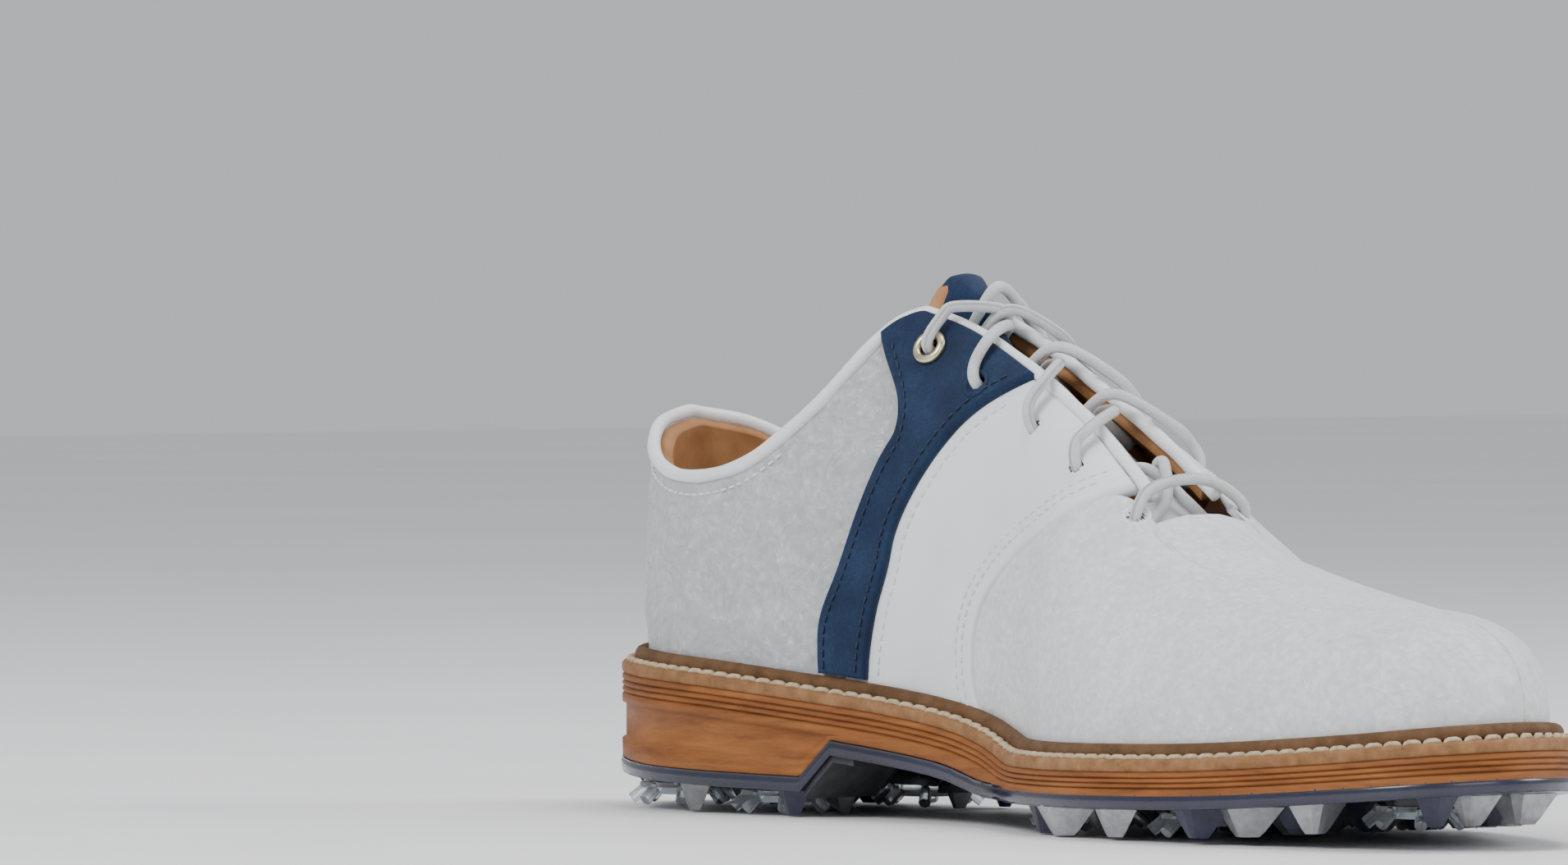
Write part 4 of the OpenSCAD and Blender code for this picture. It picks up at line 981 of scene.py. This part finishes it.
def lace_tail(side):
    e = EYELETS[0]
    g1 = e[0] + (1.5 if side == LATERAL else 4)
    g2 = -42 if side == LATERAL else -40.5
    return [bore_at(side, e, LACE_IN), bore_at(side, e, 3.4), sz(side, g1 - 2, e[1] + 3, LACE_OVER + 1.8),
            sz(side, g1, edge_z(g1) - 1.0, LACE_OVER + 2.0),
            over_ridge(-36.5, 6.2) if side == LATERAL else over_ridge(-33, 2.4),
            sz(-side, g2, edge_z(g2) + 1.2, LACE_IN + 1.2), sz(-side, g2 - 5, edge_z(g2 - 5) - 6, LACE_IN),
            sz(-side, -55, 95, LACE_IN - 0.2), sz(-side, -58, 87, LACE_IN - 1),
            sz(-side, -59.5, 79, LACE_IN - 3)]


def climb(side, k):
    return lace_tail(side) if k == 0 else lace_pass(k, side) + climb(-side, k - 1)


def half_lace(side):
    e, n = EYELETS[4], EYELETS[3]
    qa, qb = e[0] + 0.25 * (n[0] - e[0]), e[0] + 0.75 * (n[0] - e[0])
    return [sz(side, e[0], e[1] + 2.6, LACE_OVER - 0.2), bore_at(side, e, 0.8), bore_at(side, e, LACE_IN),
            sz(side, qa, edge_z(qa) + 1.4, LACE_IN + 0.9),
            over_ridge((e[0] + n[0]) / 2, -4.6 if side == LATERAL else -1.2),
            sz(-side, qb, edge_z(qb) + 1.4, LACE_IN + 0.9)] + climb(-side, 3)


lace_pts = half_lace(MEDIAL)[::-1] + [over_ridge(EYELETS[4][0], 3.0)] + half_lace(LATERAL)
lace_path = smooth_path(np.array(lace_pts), 0.7, 12)
settle(tube("lace", lace_path, LACE_R, BRAID, 12), "shoe", "lace")

# ---------------------------------------------------------------- sole
welt_top = lambda x: rim_z(x) - STORM_H
welt_low = lambda x: rim_z(x) - STORM_H - WELT_T


def ring_points(d):
    dd = d(OUTLINE[:, 0]) if callable(d) else d
    return OUTLINE + np.reshape(dd, (-1, 1)) * OUT_N


def sole_ring(name, profile, mat):
    cols = []
    for d, z in profile:
        xy = ring_points(d)
        cols.append(np.column_stack([xy, z(OUTLINE[:, 0]) if callable(z) else z]))
    G = np.stack(cols, 1)
    n, m = G.shape[:2]
    I, J = np.meshgrid(np.arange(n), np.arange(m), indexing="ij")
    I2, J2 = (I + 1) % n, (J + 1) % m
    F = np.stack([(I * m + J).ravel(), (I2 * m + J).ravel(), (I2 * m + J2).ravel(), (I * m + J2).ravel()],
                 1)
    return new_mesh(name, G.reshape(-1, 3), F.tolist(), mat)


def tan_z(f):
    return lambda x: mid_z(x) + (welt_low(x) - mid_z(x)) * f


def rib(k, part):
    """Height of a groove's edge, measured down from the top of the midsole."""
    return lambda x: welt_low(x) - np.minimum(1.35, (welt_low(x) - mid_z(x)) / 4.3) * (k + part)


def heel_zone(x):
    return ease((-52 - x) / 10)


profile = [(0.5, tan_z(0)), (0.1, lambda x: mid_z(x) + 0.35)]
panel_lo = lambda x: mid_z(x) + 0.22 * (welt_low(x) - mid_z(x))
panel_hi = lambda x: rib(4, 0.35)(x) - 0.5 * heel_zone(x)
profile += [(0.0, lambda x: np.minimum(panel_lo(x) - 0.25, panel_hi(x) - 0.35)),
            (lambda x: 0.9 * heel_zone(x), lambda x: np.minimum(panel_lo(x) + 0.25, panel_hi(x) - 0.25)),
            (lambda x: 0.9 * heel_zone(x), lambda x: panel_hi(x) - 0.2), (0.0, panel_hi)]
for k in (3, 2, 1):
    profile += [(0.0, rib(k, 0.55)), (0.15, rib(k, 0.36)), (0.75, rib(k, 0.22)), (0.75, rib(k, 0.1)),
                (0.15, rib(k, -0.06)),
                (0.0, rib(k, -0.2))]
profile += [(0.0, lambda x: welt_low(x) - 0.35), (0.4, lambda x: welt_low(x)), (16, lambda x: welt_low(x)),
            (16, tan_z(0))]
settle(sole_ring("midsole", profile, MIDSOLE), "shoe", "midsole")
out_z = lambda x: mid_z(x) - OUT_T
settle(sole_ring("outsole_band",
        [(1.2, lambda x: out_z(x) - 0.15), (0.35, lambda x: out_z(x) + 0.05),
        (-0.15, lambda x: out_z(x) + 0.7),
        (-0.2, lambda x: mid_z(x) - 0.75), (0.1, lambda x: mid_z(x) - 0.2),
        (0.6, lambda x: mid_z(x) + 0.0),
        (3.5, lambda x: mid_z(x) - 0.1), (3.5, lambda x: out_z(x) - 0.05)], TPU),
        "shoe", None)
settle(sole_ring("welt_strip",
        [(0.5, welt_low), (0.05, lambda x: welt_low(x) + 0.4), (-0.1, lambda x: welt_low(x) + 1.2),
        (-0.05, lambda x: welt_top(x) - 0.6), (0.35, lambda x: welt_top(x) - 0.12),
        (0.9, welt_top),
        (8, welt_top), (12, welt_low)], WELT), "shoe", "welt_strip")
settle(sole_ring("storm_welt",
        [(2.95, welt_top), (2.75, lambda x: welt_top(x) + 0.9),
        (2.95, lambda x: welt_top(x) + 2.0),
        (3.5, lambda x: rim_z(x) - 0.35), (4.2, rim_z),
        (5.0, lambda x: rim_z(x) - 0.05),
        (5.8, lambda x: rim_z(x) - 0.6), (6.0, lambda x: rim_z(x) - 1.6),
        (6.0, welt_top)], STORM),
       "shoe", "storm_welt")
path = inset(1.8)
path3 = np.column_stack([path, welt_top(OUTLINE[:, 0]) + 0.15])
path3 = np.vstack([path3, path3[:1]])
parts = []
s = np.concatenate([[0], np.cumsum(np.linalg.norm(np.diff(path3, axis=0), axis=1))])
PITCH = 4.3
count = int(s[-1] / PITCH)
for i in range(count):
    q0, q1 = (i + 0.06) * s[-1] / count, (i + 0.96) * s[-1] / count
    a = np.array([np.interp(q0, s, path3[:, k]) for k in range(3)])
    b = np.array([np.interp(q1, s, path3[:, k]) for k in range(3)])
    t = (b - a) / np.linalg.norm(b - a)
    side = np.cross([0, 0, 1.0], t)
    parts.append(capsule(a - 0.42 * side, b + 0.42 * side, [0, 0, 1], 0.85, 0.85))
settle(merged("welt_stitch", parts, TWINE), "shoe", "welt_stitch")

# ---------------------------------------------------------------- lugs
CLEAT_CLEAR, FLAT_Z = 14.3, 6.2
CLEATS = [[-120.5, -17.5], [-85, -17.5], [-124, 20.5], [-88, 26.5], [21, -21.5], [73, -33.5], [121.5, -16],
          [73, 23.5],
          [18, 34]]
LUGS = {
    "forefoot_lugs_silver": [[39, -45, 8, 14, 7], [57, -46, -5, 12, 7], [40, -33.5, 5, 14, 7],
        [45, -17, 8, 14, 8],
        [94, -41.5, 25, 13, 8], [112, -38.5, 70, 11, 8], [60, -13, 15, 15, 9], [91, -24, 60, 16, 9],
        [77, -4, 50, 15, 9],
        [96, -7, 60, 15, 9], [37, -4, 5, 13, 8], [56, 3, 30, 16, 8], [38, 10, 25, 13, 8],
        [94, 9, 50, 15, 9],
        [112, 5, 60, 14, 8], [135, -1, 60, 12, 8], [52, 16, 25, 14, 8], [110, 19, 55, 14, 8],
        [94, 27, 40, 13, 8],
        [47, 31, 30, 15, 8], [40, 44, 5, 13, 6], [58, 39.5, 20, 13, 7], [77, 40, 25, 10, 4],
        [4, 20, 30, 13, 8],
        [-8, 14.5, 0, 12, 6], [20, -2.8, 0, 12, 6.2], [3, -14, 20, 11, 7], [136, -16, 50, 10, 8],
        [126, 9, 60, 11, 7]],
    "forefoot_lugs_dark": [[28, -40.5, 0, 10, 5], [48, -38, 0, 9, 5], [55, -26.5, 10, 10, 5],
        [84, -46.5, 20, 11, 5],
        [102, -33, 60, 12, 6], [76, -16.5, 40, 11, 6], [105, -15.5, 60, 11, 6], [49, -6, 20, 10, 5],
        [67, 2, 40, 11, 5],
        [86, 3.5, 50, 10, 5], [104.5, -1.5, 60, 10, 5], [102, 13, 55, 9, 4], [30, 18, 25, 11, 5],
        [9, 10.8, 10, 9, 3.5],
        [123, 1, 60, 10, 5], [60, 28, 25, 9, 5], [28, -7, 0, 9, 5], [137, -27, 70, 8, 5],
        [85, 35, 30, 10, 4],
        [30, 49, 0, 10, 3]],
    "heel_lugs_silver": [[-104, -13, 10, 12, 8], [-104, 14, 60, 13, 8], [-73.5, 23, -60, 9, 7],
        [-110, 34.5, 15, 11, 5],
        [-132, 2, 75, 12, 7], [-71, -13, 15, 6, 6], [-104, -29, 0, 9, 5]],
    "heel_lugs_dark": [[-141, -9, 60, 10, 7], [-144, 3, 90, 10, 7], [-141, 15, 120, 10, 7],
        [-136, 25, 135, 7, 5],
        [-72, -27, 0, 9, 5], [-106, 25, 40, 11, 5], [-73, 36, 0, 9, 5], [-112, 2, 90, 11, 5]]}


def lug(p):
    x, y, turn, l, w = p
    foot = [(-0.45 * l, 0), (-0.18 * l, -0.42 * w), (0.0, -w / 2), (0.18 * l, -0.36 * w), (0.55 * l, 0),
            (0.18 * l, 0.36 * w),
            (0.0, w / 2), (-0.18 * l, 0.42 * w)]
    c, s_ = math.cos(math.radians(turn)), math.sin(math.radians(turn))
    base = float(out_z(x))
    lift = max(0.0, base - FLAT_Z)
    V = []
    for scale, z in ((1.25, base + 0.3), (1.12, base - 0.7), (0.62, lift + 1.3), (0.42, lift + 0.0)):
        for fx, fy in foot:
            q = np.array([x + scale * (fx * c - fy * s_), y + scale * (fx * s_ + fy * c)])
            for k in CLEATS:
                r = q - k
                if np.linalg.norm(r) < CLEAT_CLEAR:
                    q = np.array(k) + r / np.linalg.norm(r) * CLEAT_CLEAR
            V.append([q[0], q[1], z])
    F = []
    for i in range(3):
        for k in range(8):
            F.append([i * 8 + k, i * 8 + (k + 1) % 8, (i + 1) * 8 + (k + 1) % 8, (i + 1) * 8 + k])
    F += [list(range(7, -1, -1)), [24 + k for k in range(8)]]
    return V, F


for name, mat, slot in (("forefoot_lugs_silver", SILVER, "lug_silver"),
        ("forefoot_lugs_dark", DARK, "lug_dark"),
        ("heel_lugs_silver", GREY, "lug_grey"), ("heel_lugs_dark", DARK, "lug_dark")):
    ob = merged(name, [lug(p) for p in LUGS[name]], mat, False)
    bev = ob.modifiers.new("edge", "BEVEL")
    bev.width = 0.22 * MM
    bev.segments = 2
    bev.limit_method = "ANGLE"
    settle(ob, "shoe", name)

# ---------------------------------------------------------------- stitching
SEAM_PITCH = 2.6
navy_st, white_st = [], []


def beside(q, dg):
    """The line q moved sideways by dg."""
    along_q = np.gradient(q, axis=0)
    along_q /= np.linalg.norm(along_q, axis=1)[:, None]
    return q + np.stack([along_q[:, 1], -along_q[:, 0]], 1) * dg


for SIDE in (MEDIAL, LATERAL):
    for line, dg, d in ((STRIPE_BACK, 2.1, 2.2), (STRIPE_FRONT, -2.1, 2.2)):
        q = pattern(line, SIDE, n=120, foot=OVERLAY_FOOT)[3:-4]
        P, N = skin_line(SIDE, beside(q, dg), d)
        navy_st += stitches(P, N, SEAM_PITCH, 0.36)
    for line, dg, d in ((STRIPE_FRONT, 2.8, 0.28), (VAMP_SEAM, -1.9, 1.2), (VAMP_SEAM, -4.1, 1.15)):
        q = pattern(line, SIDE, n=120)[3:-5]
        P, N = skin_line(SIDE, beside(q, dg), d)
        white_st += stitches(P, N, SEAM_PITCH, 0.34)
    g = np.linspace(-150, 31, 170)
    P, N = skin_line(SIDE, np.stack([g, edge_z(g) - 4.4], 1), 0.1)
    white_st += stitches(P[:70], N[:70], SEAM_PITCH, 0.32)
settle(merged("seam_thread_navy", navy_st, THREAD), "shoe", None)
settle(merged("seam_thread_white", white_st, ROPE), "shoe", None)

# ---------------------------------------------------------------- stage, light, camera
floor_mat = plain("floor", (0.86, 0.86, 0.87), (0.9, 0.9, 0.905), 0.5, 6, 0.00002)
bpy.ops.mesh.primitive_plane_add(size=8, location=(0, 0, -0.0004))
floor = bpy.context.object
floor.name = "floor"
floor.data.materials.append(floor_mat)
world = bpy.data.worlds.new("studio")
world.use_nodes = True
world.node_tree.nodes["Background"].inputs["Color"].default_value = (0.93, 0.95, 1.0, 1)
world.node_tree.nodes["Background"].inputs["Strength"].default_value = 0.6
bpy.context.scene.world = world


def area(name, at, to, size, power, color=(1, 1, 1)):
    lamp = bpy.data.lights.new(name, "AREA")
    lamp.shape = "RECTANGLE"
    lamp.size, lamp.size_y = size
    lamp.energy = power
    lamp.color = color
    ob = bpy.data.objects.new(name, lamp)
    ob.location = at
    ob.rotation_euler = (Vector(to) - Vector(at)).to_track_quat("-Z", "Y").to_euler()
    bpy.context.scene.collection.objects.link(ob)


area("key", (0.1, -1.5, 1.25), (0, 0, 0.05), (0.9, 0.7), 24)
area("fill", (1.6, -0.5, 0.7), (0, 0, 0.05), (1.0, 0.8), 5, (0.97, 0.98, 1))
area("top", (0.1, 0.3, 1.5), (0, 0, 0), (1.0, 0.8), 12)
area("rim", (0.9, 1.3, 0.9), (0, 0, 0.06), (0.9, 0.7), 14)

CAM_TURN, CAM_RISE, CAM_FAR = math.radians(49.8), math.radians(1.0), 3.0
right = Vector((math.cos(CAM_TURN), math.sin(CAM_TURN), 0))
to_cam = Vector((math.sin(CAM_TURN) * math.cos(CAM_RISE), -math.cos(CAM_TURN) * math.cos(CAM_RISE),
        math.sin(CAM_RISE)))
target = -0.0692 * right + Vector((0, 0, 0.0857))
cam = bpy.data.cameras.new("camera")
cam.lens, cam.sensor_width = 314, 36
cam.clip_start, cam.clip_end = 0.05, 20
cam_ob = bpy.data.objects.new("camera", cam)
cam_ob.location = target + to_cam * CAM_FAR
cam_ob.rotation_euler = (-to_cam).to_track_quat("-Z", "Y").to_euler()
bpy.context.scene.collection.objects.link(cam_ob)
bpy.context.scene.camera = cam_ob
